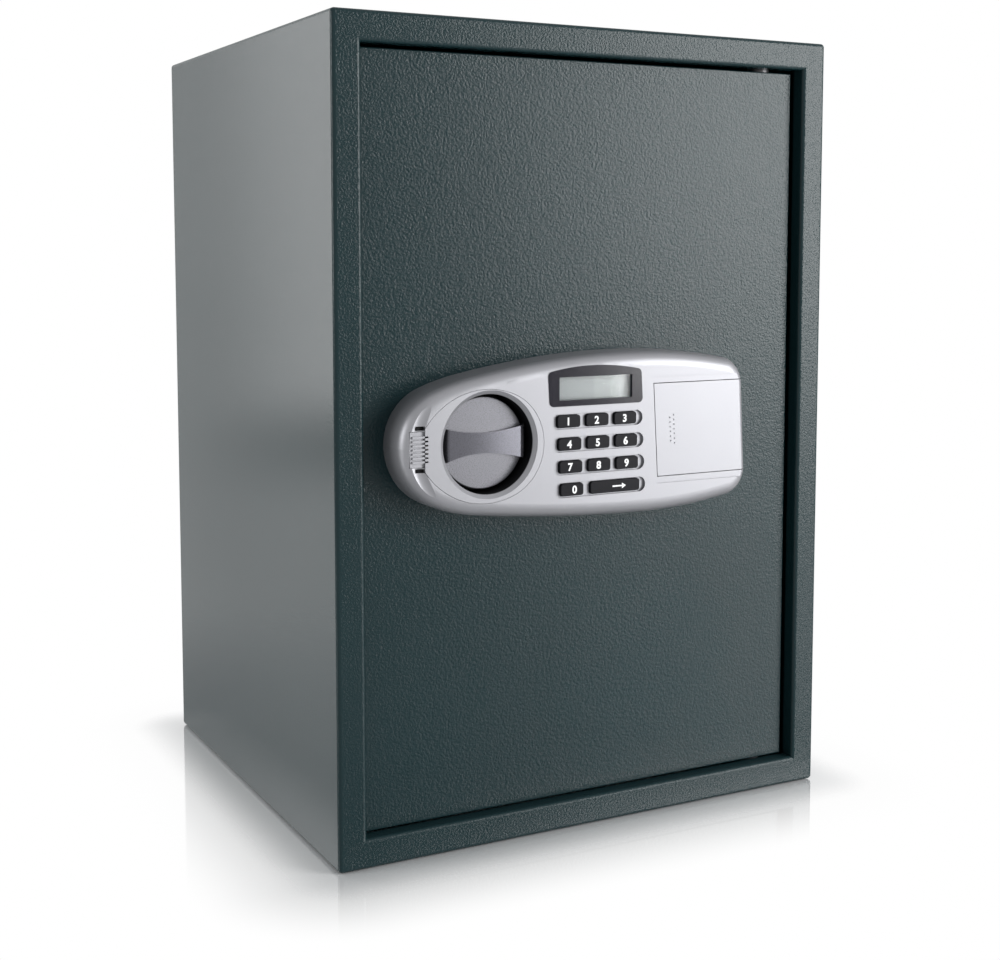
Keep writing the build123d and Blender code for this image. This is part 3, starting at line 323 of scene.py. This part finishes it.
def knob_lacquer(colour):
    """Silver paint on the knob; its grip bar is darkened by painted shade, and its bump shades it towards one
    end.
    """
    finish = Finish("knob_silver")
    flakes = finish.noise(0.0005, 1.0, 0.6)
    cloud = finish.noise(0.03, 2.0)
    corners = [vertex.co for vertex in frame["nodes"]["knob"].data.vertices]
    left = min(corner.x for corner in corners)
    right = max(corner.x for corner in corners)
    foremost = min(corner.y for corner in corners)
    along = (finish.axis("X") - (left + right) / 2) / ((right - left) / 2)
    on_bar = finish.node("Math", {"operation": "LESS_THAN"},
                         {0: finish.axis("Y"), 1: foremost + BAR_FACE_DEPTH})
    crown = (1.0 - along * along) * on_bar + flakes * 0.0015
    paint = finish.tint(flakes * 0.7 + cloud * 0.3, scaled(colour, 0.90), scaled(colour, 1.08))
    return finish.surface({
        # Painted shade: the grip bar's colour is multiplied darker
        "Base Color": finish.node("Mix", {"data_type": "RGBA", "blend_type": "MULTIPLY"},
                                  {0: on_bar, 6: paint, 7: (*BAR_PAINTED_SHADE, 1.0)}, 2),
        "Metallic": 0.7,
        "Roughness": finish.between(flakes, 0.24, 0.32),
        "Normal": finish.relief(crown, BAR_CROWN, 1.0),
    })


def moulded_plastic(name, colour, roughness, grain, depth, gloss):
    """Plain moulded plastic with a light spark-eroded grain."""
    finish = Finish(name)
    pits = finish.noise(grain, 2.0)
    cloud = finish.noise(0.012, 2.0)
    return finish.surface({
        "Base Color": finish.tint(pits * 0.5 + cloud * 0.5, scaled(colour, 0.75), scaled(colour, 1.25)),
        "Roughness": finish.between(pits, roughness - 0.05, roughness + 0.07),
        "Specular IOR Level": gloss,
        "Normal": finish.relief(pits, depth, 0.5),
    })


def steel(name, colour, roughness, brush):
    """Bare metal, brushed along one way, with a faint bloom."""
    finish = Finish(name)
    marks = finish.noise(0.0011, 3.0, 0.6, finish.stretched(*brush))
    bloom = finish.noise(0.018, 3.0)
    return finish.surface({
        "Base Color": finish.tint(bloom * 0.6 + marks * 0.4, scaled(colour, 0.82), scaled(colour, 1.08)),
        "Metallic": 1.0,
        "Roughness": finish.between(marks * 0.6 + bloom * 0.4, roughness - 0.07, roughness + 0.12),
        "Normal": finish.relief(marks, 0.00002, 0.35),
    })


def display_liquid():
    """The grey display, with a painted reflection that makes it lighter right of its middle and painted shade
    that makes it darker at its ends.
    """
    finish = Finish("display_liquid")
    low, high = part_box("lcd_module")
    across = (finish.axis("X") - low.x) / (high.x - low.x)
    # Painted reflection and painted shade: lighter right of the middle, darker at the ends
    bands = finish.ramp(across, [
        (0.00, (0.25, 0.26, 0.27, 1.0)),
        (0.10, (0.29, 0.30, 0.31, 1.0)),
        (0.50, (0.31, 0.32, 0.33, 1.0)),
        (0.54, (0.35, 0.36, 0.37, 1.0)),
        (0.80, (0.33, 0.34, 0.35, 1.0)),
        (1.00, (0.27, 0.28, 0.31, 1.0)),
    ])
    speck = finish.noise(0.0006, 1.0)
    mottle = finish.tint(speck, (0.94, 0.94, 0.94), (1.0, 1.0, 1.0))
    return finish.surface({
        "Base Color": finish.node("Mix", {"data_type": "RGBA", "blend_type": "MULTIPLY"},
                                  {0: 1.0, 6: bands, 7: mottle}, 2),
        "Roughness": 0.22,
        "Normal": finish.relief(speck, 0.00001, 0.2),
    })


def clear_lens():
    """The clear window: see-through, with a gloss that grows at a slant."""
    finish = Finish("clear_lens")
    smear = finish.noise(0.006, 2.0)
    gloss = finish.node("BsdfGlossy", {}, {"Color": WHITE, "Roughness": finish.between(smear, 0.03, 0.08)},
                        "BSDF")
    clear = finish.node("BsdfTransparent", {}, {"Color": (0.985, 0.995, 0.99, 1.0)}, "BSDF")
    edge = finish.node("Fresnel", {}, {"IOR": 1.49}, "Fac") * 0.2
    return finish.end(finish.node("MixShader", {}, {0: edge, 1: clear, 2: gloss}))


def board_lacquer():
    """Green solder lacquer over copper tracks."""
    finish = Finish("board_lacquer")
    tracks = finish.node("TexBrick", {"offset": 0.5},
                         {"Vector": finish.coords, "Scale": 90.0, "Mortar Size": 0.03}, "Fac")
    cloud = finish.noise(0.01, 2.0)
    return finish.surface({
        "Base Color": finish.tint(tracks * 0.7 + cloud * 0.3, (0.012, 0.10, 0.045), (0.03, 0.22, 0.09)),
        "Roughness": finish.between(cloud, 0.25, 0.4),
        "Normal": finish.relief(tracks, 0.00004, 0.6),
    })


def cell_wrap():
    """The shrunk sleeve of a dry cell: a dark body with a copper-coloured end."""
    finish = Finish("cell_wrap")
    low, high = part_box("battery_cells")
    height = (finish.axis("Z") - low.z) / (high.z - low.z)
    colour = finish.ramp(height, [
        (0.0, (0.03, 0.03, 0.035, 1.0)),
        (0.70, (0.035, 0.035, 0.04, 1.0)),
        (0.705, (0.42, 0.24, 0.10, 1.0)),
        (1.0, (0.45, 0.27, 0.12, 1.0)),
    ])
    wrinkle = finish.noise(0.004, 2.0)
    return finish.surface({
        "Base Color": colour,
        "Metallic": 0.3,
        "Roughness": finish.between(wrinkle, 0.25, 0.38),
        "Normal": finish.relief(wrinkle, 0.00005, 0.4),
    })


def coil_winding():
    """Varnished copper wire, wound turn beside turn."""
    finish = Finish("coil_winding")
    turns = finish.node("TexWave", {"bands_direction": "Z", "wave_profile": "SIN"},
                        {"Vector": finish.coords, "Scale": 1.0 / COIL_TURN / WAVE_BANDS}, "Fac")
    cloud = finish.noise(0.004, 2.0)
    return finish.surface({
        "Base Color": finish.tint(turns * 0.6 + cloud * 0.4, (0.16, 0.05, 0.02), (0.55, 0.22, 0.08)),
        "Metallic": 0.7,
        "Roughness": finish.between(cloud, 0.28, 0.42),
        "Normal": finish.relief(turns, 0.0002, 0.8),
    })


def rubber():
    """Black moulded rubber with a dusty bloom."""
    finish = Finish("black_rubber")
    pits = finish.noise(0.0009, 3.0)
    bloom = finish.noise(0.015, 2.0)
    return finish.surface({
        "Base Color": finish.tint(bloom, (0.012, 0.012, 0.012), (0.035, 0.035, 0.035)),
        "Roughness": finish.between(pits, 0.62, 0.82),
        "Normal": finish.relief(pits, 0.00006, 0.6),
    })


def felt():
    """Needled felt: short fibres lying every way."""
    finish = Finish("mat_felt")
    fibres = finish.noise(0.0005, 4.0, 0.75)
    long_fibres = finish.noise(0.0009, 3.0, 0.7, finish.stretched(1.0, 0.25, 1.0))
    cloud = finish.noise(0.05, 2.0)
    pile = fibres * 0.5 + long_fibres * 0.5
    return finish.surface({
        "Base Color": finish.tint(pile * 0.75 + cloud * 0.25, (0.012, 0.013, 0.015), (0.065, 0.067, 0.072)),
        "Roughness": finish.between(fibres, 0.85, 1.0),
        "Sheen Weight": 0.35,
        "Sheen Roughness": 0.5,
        "Normal": finish.relief(pile, 0.0004, 0.9),
    })


def printed_white():
    """White ink printed on a key."""
    finish = Finish("printed_white")
    cover = finish.noise(0.0004, 2.0)
    return finish.surface({
        "Base Color": finish.tint(cover, (0.74, 0.75, 0.76), (0.90, 0.90, 0.90)),
        "Roughness": finish.between(cover, 0.38, 0.5),
    })


# Sizes and colours that a user would change


class SafePaintSettings(bpy.types.PropertyGroup):
    paint_colour: bpy.props.FloatVectorProperty(
        name="Paint", description="Colour of the powder coat", subtype="COLOR", size=3,
        default=(0.007, 0.022, 0.025), min=0.0, max=1.0)
    paint_roughness: bpy.props.FloatProperty(
        name="Roughness", description="How dull the powder coat is", default=0.11, min=0.05, max=1.0,
        subtype="FACTOR")
    paint_gloss: bpy.props.FloatProperty(
        name="Gloss", description="How much the powder coat mirrors", default=0.18, min=0.0, max=1.0,
        subtype="FACTOR")
    grain: bpy.props.FloatProperty(
        name="Grain", description="Width of one grain of the powder coat", default=0.0014, min=0.0002,
        max=0.01, unit="LENGTH")
    grain_depth: bpy.props.FloatProperty(
        name="Grain depth", description="Height of the grain", default=0.00034, min=0.0, max=0.002,
        unit="LENGTH")
    grain_strength: bpy.props.FloatProperty(
        name="Grain strength", description="How much of the grain shows", default=1.0, min=0.0, max=1.0,
        subtype="FACTOR")


class SafePanelSettings(bpy.types.PropertyGroup):
    silver: bpy.props.FloatVectorProperty(
        name="Panel silver", description="Colour of the moulded panel", subtype="COLOR", size=3,
        default=(0.272, 0.273, 0.290), min=0.0, max=1.0)
    knob_silver: bpy.props.FloatVectorProperty(
        name="Knob silver", description="Colour of the knob", subtype="COLOR", size=3,
        default=(0.172, 0.172, 0.188), min=0.0, max=1.0)
    numeral_height: bpy.props.FloatProperty(
        name="Numeral height", description="Height of the numerals on the keys", default=0.0047, min=0.001,
        max=0.007, unit="LENGTH")
    numeral_weight: bpy.props.FloatProperty(
        name="Numeral weight", description="How much the strokes of the numerals are thickened",
        default=0.0002, min=0.0, max=0.0005, unit="LENGTH")
    ink_thickness: bpy.props.FloatProperty(
        name="Ink thickness", description="How far the ink stands above a key", default=0.00004, min=0.00001,
        max=0.0001, unit="LENGTH")


class SafeMatSettings(bpy.types.PropertyGroup):
    thickness: bpy.props.FloatProperty(
        name="Mat thickness", description="Thickness of the felt", default=0.0018, min=0.0005, max=0.003,
        unit="LENGTH")
    wave: bpy.props.FloatProperty(
        name="Mat wave", description="How far the felt lifts in slack places", default=0.00012, min=0.0,
        max=0.001, unit="LENGTH")
    hole_radius: bpy.props.FloatProperty(
        name="Hole radius", description="Radius of the holes round the floor anchors", default=0.012,
        min=0.004, max=0.03, unit="LENGTH")


class SafeStageSettings(bpy.types.PropertyGroup):
    camera_place: bpy.props.FloatVectorProperty(
        name="Camera", description="Where the camera stands", subtype="TRANSLATION", unit="LENGTH", size=3,
        default=(-0.497, -0.96285, 0.369))
    camera_yaw: bpy.props.FloatProperty(
        name="Yaw", description="How far the camera looks to the right of straight ahead", subtype="ANGLE",
        unit="ROTATION", default=math.radians(27.78))
    camera_pitch: bpy.props.FloatProperty(
        name="Pitch", description="How far the camera looks down", subtype="ANGLE", unit="ROTATION",
        default=math.radians(5.12))
    lens: bpy.props.FloatProperty(
        name="Lens", description="Focal length on a 36 mm sensor, in millimetres", default=55.26, min=20.0,
        max=200.0)
    shift_up: bpy.props.FloatProperty(
        name="Shift", description="How far the frame is shifted up, as a share of its width", default=-0.10,
        min=-0.5, max=0.5)
    key_power: bpy.props.FloatProperty(
        name="Key light", description="Power of the soft light at the right", default=40.0, min=0.0,
        max=500.0, unit="POWER")
    left_power: bpy.props.FloatProperty(
        name="Left light", description="Power of the light at the left", default=14.0, min=0.0,
        max=500.0, unit="POWER")
    side_power: bpy.props.FloatProperty(
        name="Side light", description="Power of the soft light behind the left side", default=5.5, min=0.0,
        max=500.0, unit="POWER")
    fill: bpy.props.FloatProperty(
        name="Room light", description="Strength of the light from all round", default=0.45, min=0.0, max=2.0)
    floor_colour: bpy.props.FloatVectorProperty(
        name="Floor", description="Colour of the floor", subtype="COLOR", size=3, default=(0.9, 0.9, 0.9),
        min=0.0, max=1.0)
    mirror_reach: bpy.props.FloatProperty(
        name="Mirror reach", description="How far from the safe the floor still mirrors it", default=0.09,
        min=0.01, max=1.0, unit="LENGTH")
    shadow_reach: bpy.props.FloatProperty(
        name="Shadow reach", description="How far from the safe the floor turns plain white", default=0.04,
        min=0.03, max=2.0, unit="LENGTH")


class SafeSettings(bpy.types.PropertyGroup):
    paint: bpy.props.PointerProperty(name="Paint", description="Body finish", type=SafePaintSettings)
    panel: bpy.props.PointerProperty(name="Panel", description="Control panel", type=SafePanelSettings)
    mat: bpy.props.PointerProperty(name="Mat", description="Floor mat", type=SafeMatSettings)
    stage: bpy.props.PointerProperty(
        name="Stage", description="Camera, floor and light", type=SafeStageSettings)


# Steps that the operators share


def deselect():
    """Nothing selected, nothing being edited."""
    if bpy.context.mode != "OBJECT":
        bpy.ops.object.mode_set(mode="OBJECT")
    bpy.ops.object.select_all(action="DESELECT")


def dress(nodes, material):
    """Gives CAD nodes a finish, in every slot their meshes use."""
    for name in nodes:
        piece = frame["nodes"][name]
        for place in piece.material_slots:
            place.material = material
        if not piece.material_slots:
            piece.data.materials.append(material)


def settle(piece, material):
    """Puts a finished piece's place into its mesh and gives it its finish."""
    deselect()
    piece.select_set(True)
    bpy.context.view_layer.objects.active = piece
    bpy.ops.object.transform_apply(location=True, rotation=True, scale=True)
    piece.data.materials.clear()
    piece.data.materials.append(material)
    piece.select_set(False)
    return piece


def apply_modifiers(piece):
    """Applies what is on the piece, first to last."""
    bpy.context.view_layer.objects.active = piece
    for modifier in list(piece.modifiers):
        bpy.ops.object.modifier_apply(modifier=modifier.name)


# Operators


class SAFE_OT_paint_body(bpy.types.Operator):
    """Powder coat on the cabinet, the door and the shelf"""
    bl_idname = "safe.paint_body"
    bl_label = "Paint Body"

    def execute(self, context):
        dress(nodes_with("body_paint"), powder_coat(context.scene.safe.paint))
        return {"FINISHED"}


class SAFE_OT_finish_panel(bpy.types.Operator):
    """Silver, black and clear finishes on the control panel"""
    bl_idname = "safe.finish_panel"
    bl_label = "Finish Panel"

    def execute(self, context):
        settings = context.scene.safe.panel
        dress(nodes_with("silver_plastic"), silver_lacquer(tuple(settings.silver), *PANEL_SHEEN))
        dress(["knob"], knob_lacquer(tuple(settings.knob_silver)))
        for name, look in PLASTICS.items():
            dress(nodes_with(name), moulded_plastic(name, *look))
        dress(nodes_with("display_glass"), display_liquid())
        dress(nodes_with("clear_lens"), clear_lens())
        return {"FINISHED"}


class SAFE_OT_finish_works(bpy.types.Operator):
    """Metal, rubber, board and cell finishes on the inner works"""
    bl_idname = "safe.finish_works"
    bl_label = "Finish Works"

    def execute(self, context):
        for name, look in METALS.items():
            dress(nodes_with(name), steel(name, *look))
        dress(["hinge_pin_upper", "hinge_pin_lower"], steel("oiled_steel", *DARK_PIN_STEEL))
        dress(nodes_with("black_rubber"), rubber())
        dress(nodes_with("board_green"), board_lacquer())
        dress(nodes_with("cell_wrap"), cell_wrap())
        dress(nodes_with("coil_wrap"), coil_winding())
        return {"FINISHED"}


class SAFE_OT_key_numerals(bpy.types.Operator):
    """A white numeral on each of the ten small keys"""
    bl_idname = "safe.key_numerals"
    bl_label = "Key Numerals"

    def execute(self, context):
        settings = context.scene.safe.panel
        ink = printed_white()
        for number in range(10):
            key = f"key_{number}"
            low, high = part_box(key)
            deselect()
            bpy.ops.object.text_add()
            text = bpy.context.object
            text.name = f"numeral_{number}"
            text.data.body = str(number)
            text.data.align_x = "CENTER"
            text.data.align_y = "CENTER"
            text.data.size = settings.numeral_height / FIGURE_SHARE
            text.data.offset = settings.numeral_weight
            text.data.extrude = settings.ink_thickness / 2
            text.data.resolution_u = 6
            bpy.ops.object.convert(target="MESH")
            numeral = bpy.context.object
            across = [vertex.co.x for vertex in numeral.data.vertices]
            upright = [vertex.co.y for vertex in numeral.data.vertices]
            middle_x = (min(across) + max(across)) / 2
            middle_y = (min(upright) + max(upright)) / 2
            shift = ZERO_SHIFT if number == 0 else NUMERAL_SHIFT
            centre = (low + high) / 2
            numeral.rotation_euler = (math.radians(90), 0.0, 0.0)
            numeral.location = (centre.x - middle_x + shift, low.y - settings.ink_thickness / 2,
                                centre.z - middle_y)
            settle(numeral, ink)
            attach(numeral, key)
        return {"FINISHED"}


class SAFE_OT_start_mark(bpy.types.Operator):
    """A plain white arrow on the wide key"""
    bl_idname = "safe.start_mark"
    bl_label = "Start Mark"

    def execute(self, context):
        settings = context.scene.safe.panel
        low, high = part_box("key_start")
        centre = (low + high) / 2
        height = settings.numeral_height * ARROW_SHARE
        deselect()
        bpy.ops.mesh.primitive_plane_add(size=1.0, location=(0.0, 0.0, 0.0))
        mark = bpy.context.object
        mark.name = "start_arrow"
        mark.dimensions = (height * ARROW_SHAFT[0], height * ARROW_SHAFT[1], 0.0)
        bpy.ops.object.transform_apply(location=True, rotation=True, scale=True)
        bpy.ops.object.mode_set(mode="EDIT")
        bpy.ops.mesh.select_mode(type="VERT")
        bpy.ops.mesh.primitive_circle_add(vertices=3, radius=height * ARROW_HEAD, fill_type="NGON",
                                          location=(height * ARROW_HEAD_PLACE, 0.0, 0.0),
                                          rotation=(0.0, 0.0, math.radians(-90)))
        bpy.ops.mesh.select_all(action="SELECT")
        bpy.ops.mesh.extrude_region_move(TRANSFORM_OT_translate={"value": (0.0, 0.0, settings.ink_thickness)})
        bpy.ops.mesh.select_all(action="SELECT")
        bpy.ops.mesh.normals_make_consistent(inside=False)
        bpy.ops.object.mode_set(mode="OBJECT")
        mark.rotation_euler = (math.radians(90), 0.0, 0.0)
        mark.location = (centre.x + ARROW_SHIFT, low.y, centre.z)
        settle(mark, printed_white())
        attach(mark, "key_start")
        return {"FINISHED"}


class SAFE_OT_floor_mat(bpy.types.Operator):
    """The felt mat on the safe's floor, cut round the two anchor holes"""
    bl_idname = "safe.floor_mat"
    bl_label = "Floor Mat"

    def execute(self, context):
        settings = context.scene.safe.mat
        low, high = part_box("floor_mat")
        width = high.x - low.x
        length = high.y - low.y
        deselect()
        squares_x, squares_y = MAT_SQUARES
        bpy.ops.mesh.primitive_grid_add(x_subdivisions=squares_x, y_subdivisions=squares_y, size=1.0)
        mat = bpy.context.object
        mat.name = "felt_mat"
        mat.dimensions = (width, length, 0.0)
        bpy.ops.object.transform_apply(location=True, rotation=True, scale=True)
        for vertex in mat.data.vertices:
            wave_x = math.sin(vertex.co.x * MAT_WAVE_X[0] + MAT_WAVE_X[1])
            wave_y = math.cos(vertex.co.y * MAT_WAVE_Y[0] + MAT_WAVE_Y[1])
            vertex.co.z = settings.wave * 0.5 * (1.0 + wave_x * wave_y)
        mat.location = ((low.x + high.x) / 2, (low.y + high.y) / 2, low.z + MAT_LIFT)
        bpy.ops.object.transform_apply(location=True, rotation=True, scale=True)
        solid = mat.modifiers.new("felt_thickness", "SOLIDIFY")
        solid.thickness = settings.thickness
        solid.offset = 1.0
        apply_modifiers(mat)
        for x, y in self.hole_places():
            deselect()
            bpy.ops.mesh.primitive_cylinder_add(vertices=HOLE_SIDES, radius=settings.hole_radius,
                                                depth=CUTTER_HEIGHT, location=(x, y, low.z))
            cutter = bpy.context.object
            cut = mat.modifiers.new("anchor_hole", "BOOLEAN")
            cut.operation = "DIFFERENCE"
            cut.object = cutter
            apply_modifiers(mat)
            bpy.data.objects.remove(cutter, do_unlink=True)
        mat.select_set(True)
        bpy.context.view_layer.objects.active = mat
        bpy.ops.object.shade_smooth_by_angle(angle=MAT_SMOOTH_ANGLE)
        settle(mat, felt())
        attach(mat, "cabinet")
        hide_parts("floor_mat")
        return {"FINISHED"}

    def hole_places(self):
        """The two floor anchors, from the record's bolt pattern."""
        for mount in frame["record"]["mounts"]:
            if mount["name"] == "base_anchor_holes":
                x, y = mount["pos_m"][0], mount["pos_m"][1]
                half = mount["dims"]["spacing_x_mm"] / 2000.0
                return [(x - half, y), (x + half, y)]
        raise RuntimeError("the record has no base_anchor_holes")


def floor_finish(settings):
    """A pale polished floor: a mirror image and a shadow by the safe, plain white further away."""
    finish = Finish("studio_floor")
    low, high = CAD_BOX
    x = finish.axis("X")
    y = finish.axis("Y")
    out_x = (low[0] - x).larger(x - high[0]).larger(0.0)
    out_y = (low[1] + FRAME_OVERHANG - y).larger(y - high[1]).larger(0.0)
    away = (out_x * out_x + out_y * out_y) ** 0.5
    fade = finish.node("MapRange", {"interpolation_type": "SMOOTHSTEP"},
                       {"Value": away, "From Min": 0.0, "From Max": settings.mirror_reach,
                        "To Min": FLOOR_MIRROR, "To Max": 0.0}, "Result")
    far = finish.node("MapRange", {"interpolation_type": "SMOOTHSTEP"},
                      {"Value": away, "From Min": 0.0, "From Max": settings.shadow_reach}, "Result")
    grain = finish.noise(0.02, 2.0)
    colour = tuple(settings.floor_colour)
    matt = finish.node("BsdfDiffuse", {}, {"Color": finish.tint(grain, scaled(colour, 0.99), colour)}, "BSDF")
    mirror = finish.node("BsdfGlossy", {}, {"Color": (0.95, 0.95, 0.95, 1.0), "Roughness": 0.06}, "BSDF")
    white = finish.node("Emission", {}, {"Color": WHITE, "Strength": 1.0}, "Emission")
    far_mirrored = finish.node("MapRange", {"interpolation_type": "SMOOTHSTEP"},
                               {"Value": away, "From Min": settings.shadow_reach,
                                "From Max": FLOOR_WHITE_FROM}, "Result")
    mirrored = finish.node("LightPath", out="Is Glossy Ray").larger(
        finish.node("LightPath", out="Is Transmission Ray"))
    seen = (far * finish.node("LightPath", out="Is Camera Ray")).larger(far_mirrored * mirrored)
    pale = finish.node("MixShader", {}, {0: seen, 1: matt, 2: white})
    polish = finish.node("Fresnel", {}, {"IOR": FLOOR_POLISH}, "Fac") * mirrored
    return finish.end(finish.node("MixShader", {}, {0: fade.larger(polish), 1: pale, 2: mirror}))


class SAFE_OT_stage(bpy.types.Operator):
    """The floor, the studio light and the camera"""
    bl_idname = "safe.stage"
    bl_label = "Stage"

    def execute(self, context):
        settings = context.scene.safe.stage
        self.lay_floor(settings)
        self.light_room(context.scene, settings)
        for name, place in SOFT_BOXES.items():
            self.soft_box(name + "_light", getattr(settings, name + "_power"), *place)
        self.place_camera(context.scene, settings)
        view = context.scene.view_settings
        view.view_transform = "Standard"
        return {"FINISHED"}

    def lay_floor(self, settings):
        """A wide plane under the safe."""
        deselect()
        bpy.ops.mesh.primitive_plane_add(size=FLOOR_WIDTH, location=(0.0, 0.0, -FLOOR_DROP))
        floor = bpy.context.object
        floor.name = "studio_floor"
        bpy.ops.object.transform_apply(location=True, rotation=True, scale=True)
        floor.data.materials.append(floor_finish(settings))

    def light_room(self, scene, settings):
        """White all round for the camera and for reflections, a gentler light on the object."""
        world = bpy.data.worlds.new("studio")
        scene.world = world
        world.use_nodes = True
        tree = world.node_tree
        tree.nodes.clear()
        path = tree.nodes.new("ShaderNodeLightPath")
        seen = tree.nodes.new("ShaderNodeBackground")
        seen.inputs["Strength"].default_value = 1.0
        seen.inputs["Color"].default_value = WHITE
        room = tree.nodes.new("ShaderNodeBackground")
        room.inputs["Color"].default_value = ROOM_TINT
        room.inputs["Strength"].default_value = settings.fill
        mix = tree.nodes.new("ShaderNodeMixShader")
        output = tree.nodes.new("ShaderNodeOutputWorld")
        shown = path.outputs["Is Camera Ray"]
        for kind in ("Is Glossy Ray", "Is Transmission Ray"):
            either = tree.nodes.new("ShaderNodeMath")
            either.operation = "MAXIMUM"
            tree.links.new(shown, either.inputs[0])
            tree.links.new(path.outputs[kind], either.inputs[1])
            shown = either.outputs[0]
        tree.links.new(shown, mix.inputs[0])
        tree.links.new(room.outputs[0], mix.inputs[1])
        tree.links.new(seen.outputs[0], mix.inputs[2])
        tree.links.new(mix.outputs[0], output.inputs["Surface"])

    def soft_box(self, name, power, turn, rise, width, height):
        """A soft box aimed at the safe, so many degrees round to the right of its front and up."""
        turned = math.radians(turn)
        raised = math.radians(rise)
        level = math.cos(raised)
        away = Vector((math.sin(turned) * level, -math.cos(turned) * level, math.sin(raised)))
        place = BOX_TARGET + away * BOX_DISTANCE
        deselect()
        bpy.ops.object.light_add(type="AREA", location=place)
        lamp = bpy.context.object
        lamp.name = name
        lamp.data.shape = "RECTANGLE"
        lamp.data.size = width
        lamp.data.size_y = height
        lamp.data.energy = power
        lamp.rotation_euler = (BOX_TARGET - place).to_track_quat("-Z", "Y").to_euler()

    def place_camera(self, scene, settings):
        """The camera at the photograph's place and angle."""
        deselect()
        bpy.ops.object.camera_add(location=tuple(settings.camera_place))
        camera = bpy.context.object
        camera.name = "camera"
        camera.rotation_euler = (math.radians(90) - settings.camera_pitch, 0.0, -settings.camera_yaw)
        camera.data.lens = settings.lens
        camera.data.sensor_width = SENSOR_WIDTH
        camera.data.sensor_fit = "HORIZONTAL"
        camera.data.shift_y = settings.shift_up
        camera.data.dof.use_dof = False
        scene.camera = camera


class SAFE_PT_looks(bpy.types.Panel):
    """The safe's pieces and the settings behind them"""
    bl_label = "Electronic Safe"
    bl_space_type = "VIEW_3D"
    bl_region_type = "UI"
    bl_category = "Safe"

    def draw(self, context):
        settings = context.scene.safe
        layout = self.layout
        for title, group, operators in (
            ("Body", settings.paint, ("safe.paint_body",)),
            ("Control panel", settings.panel, ("safe.finish_panel", "safe.key_numerals", "safe.start_mark")),
            ("Inside", settings.mat, ("safe.finish_works", "safe.floor_mat")),
            ("Stage", settings.stage, ("safe.stage",)),
        ):
            box = layout.box()
            box.label(text=title)
            for name in group.__annotations__:
                box.prop(group, name)
            for operator in operators:
                box.operator(operator)


CLASSES = (
    SafePaintSettings,
    SafePanelSettings,
    SafeMatSettings,
    SafeStageSettings,
    SafeSettings,
    SAFE_OT_paint_body,
    SAFE_OT_finish_panel,
    SAFE_OT_finish_works,
    SAFE_OT_key_numerals,
    SAFE_OT_start_mark,
    SAFE_OT_floor_mat,
    SAFE_OT_stage,
    SAFE_PT_looks,
)


def register():
    """Makes the classes known and gives each scene its settings."""
    for kind in CLASSES:
        bpy.utils.register_class(kind)
    bpy.types.Scene.safe = bpy.props.PointerProperty(type=SafeSettings)


def unregister():
    """Takes the settings and the classes away again."""
    del bpy.types.Scene.safe
    for kind in reversed(CLASSES):
        bpy.utils.unregister_class(kind)


def main():
    """Makes every piece in order."""
    register()
    bpy.ops.safe.paint_body()
    bpy.ops.safe.finish_panel()
    bpy.ops.safe.finish_works()
    bpy.ops.safe.key_numerals()
    bpy.ops.safe.start_mark()
    bpy.ops.safe.floor_mat()
    bpy.ops.safe.stage()
    deselect()


if __name__ == "__main__":
    main()
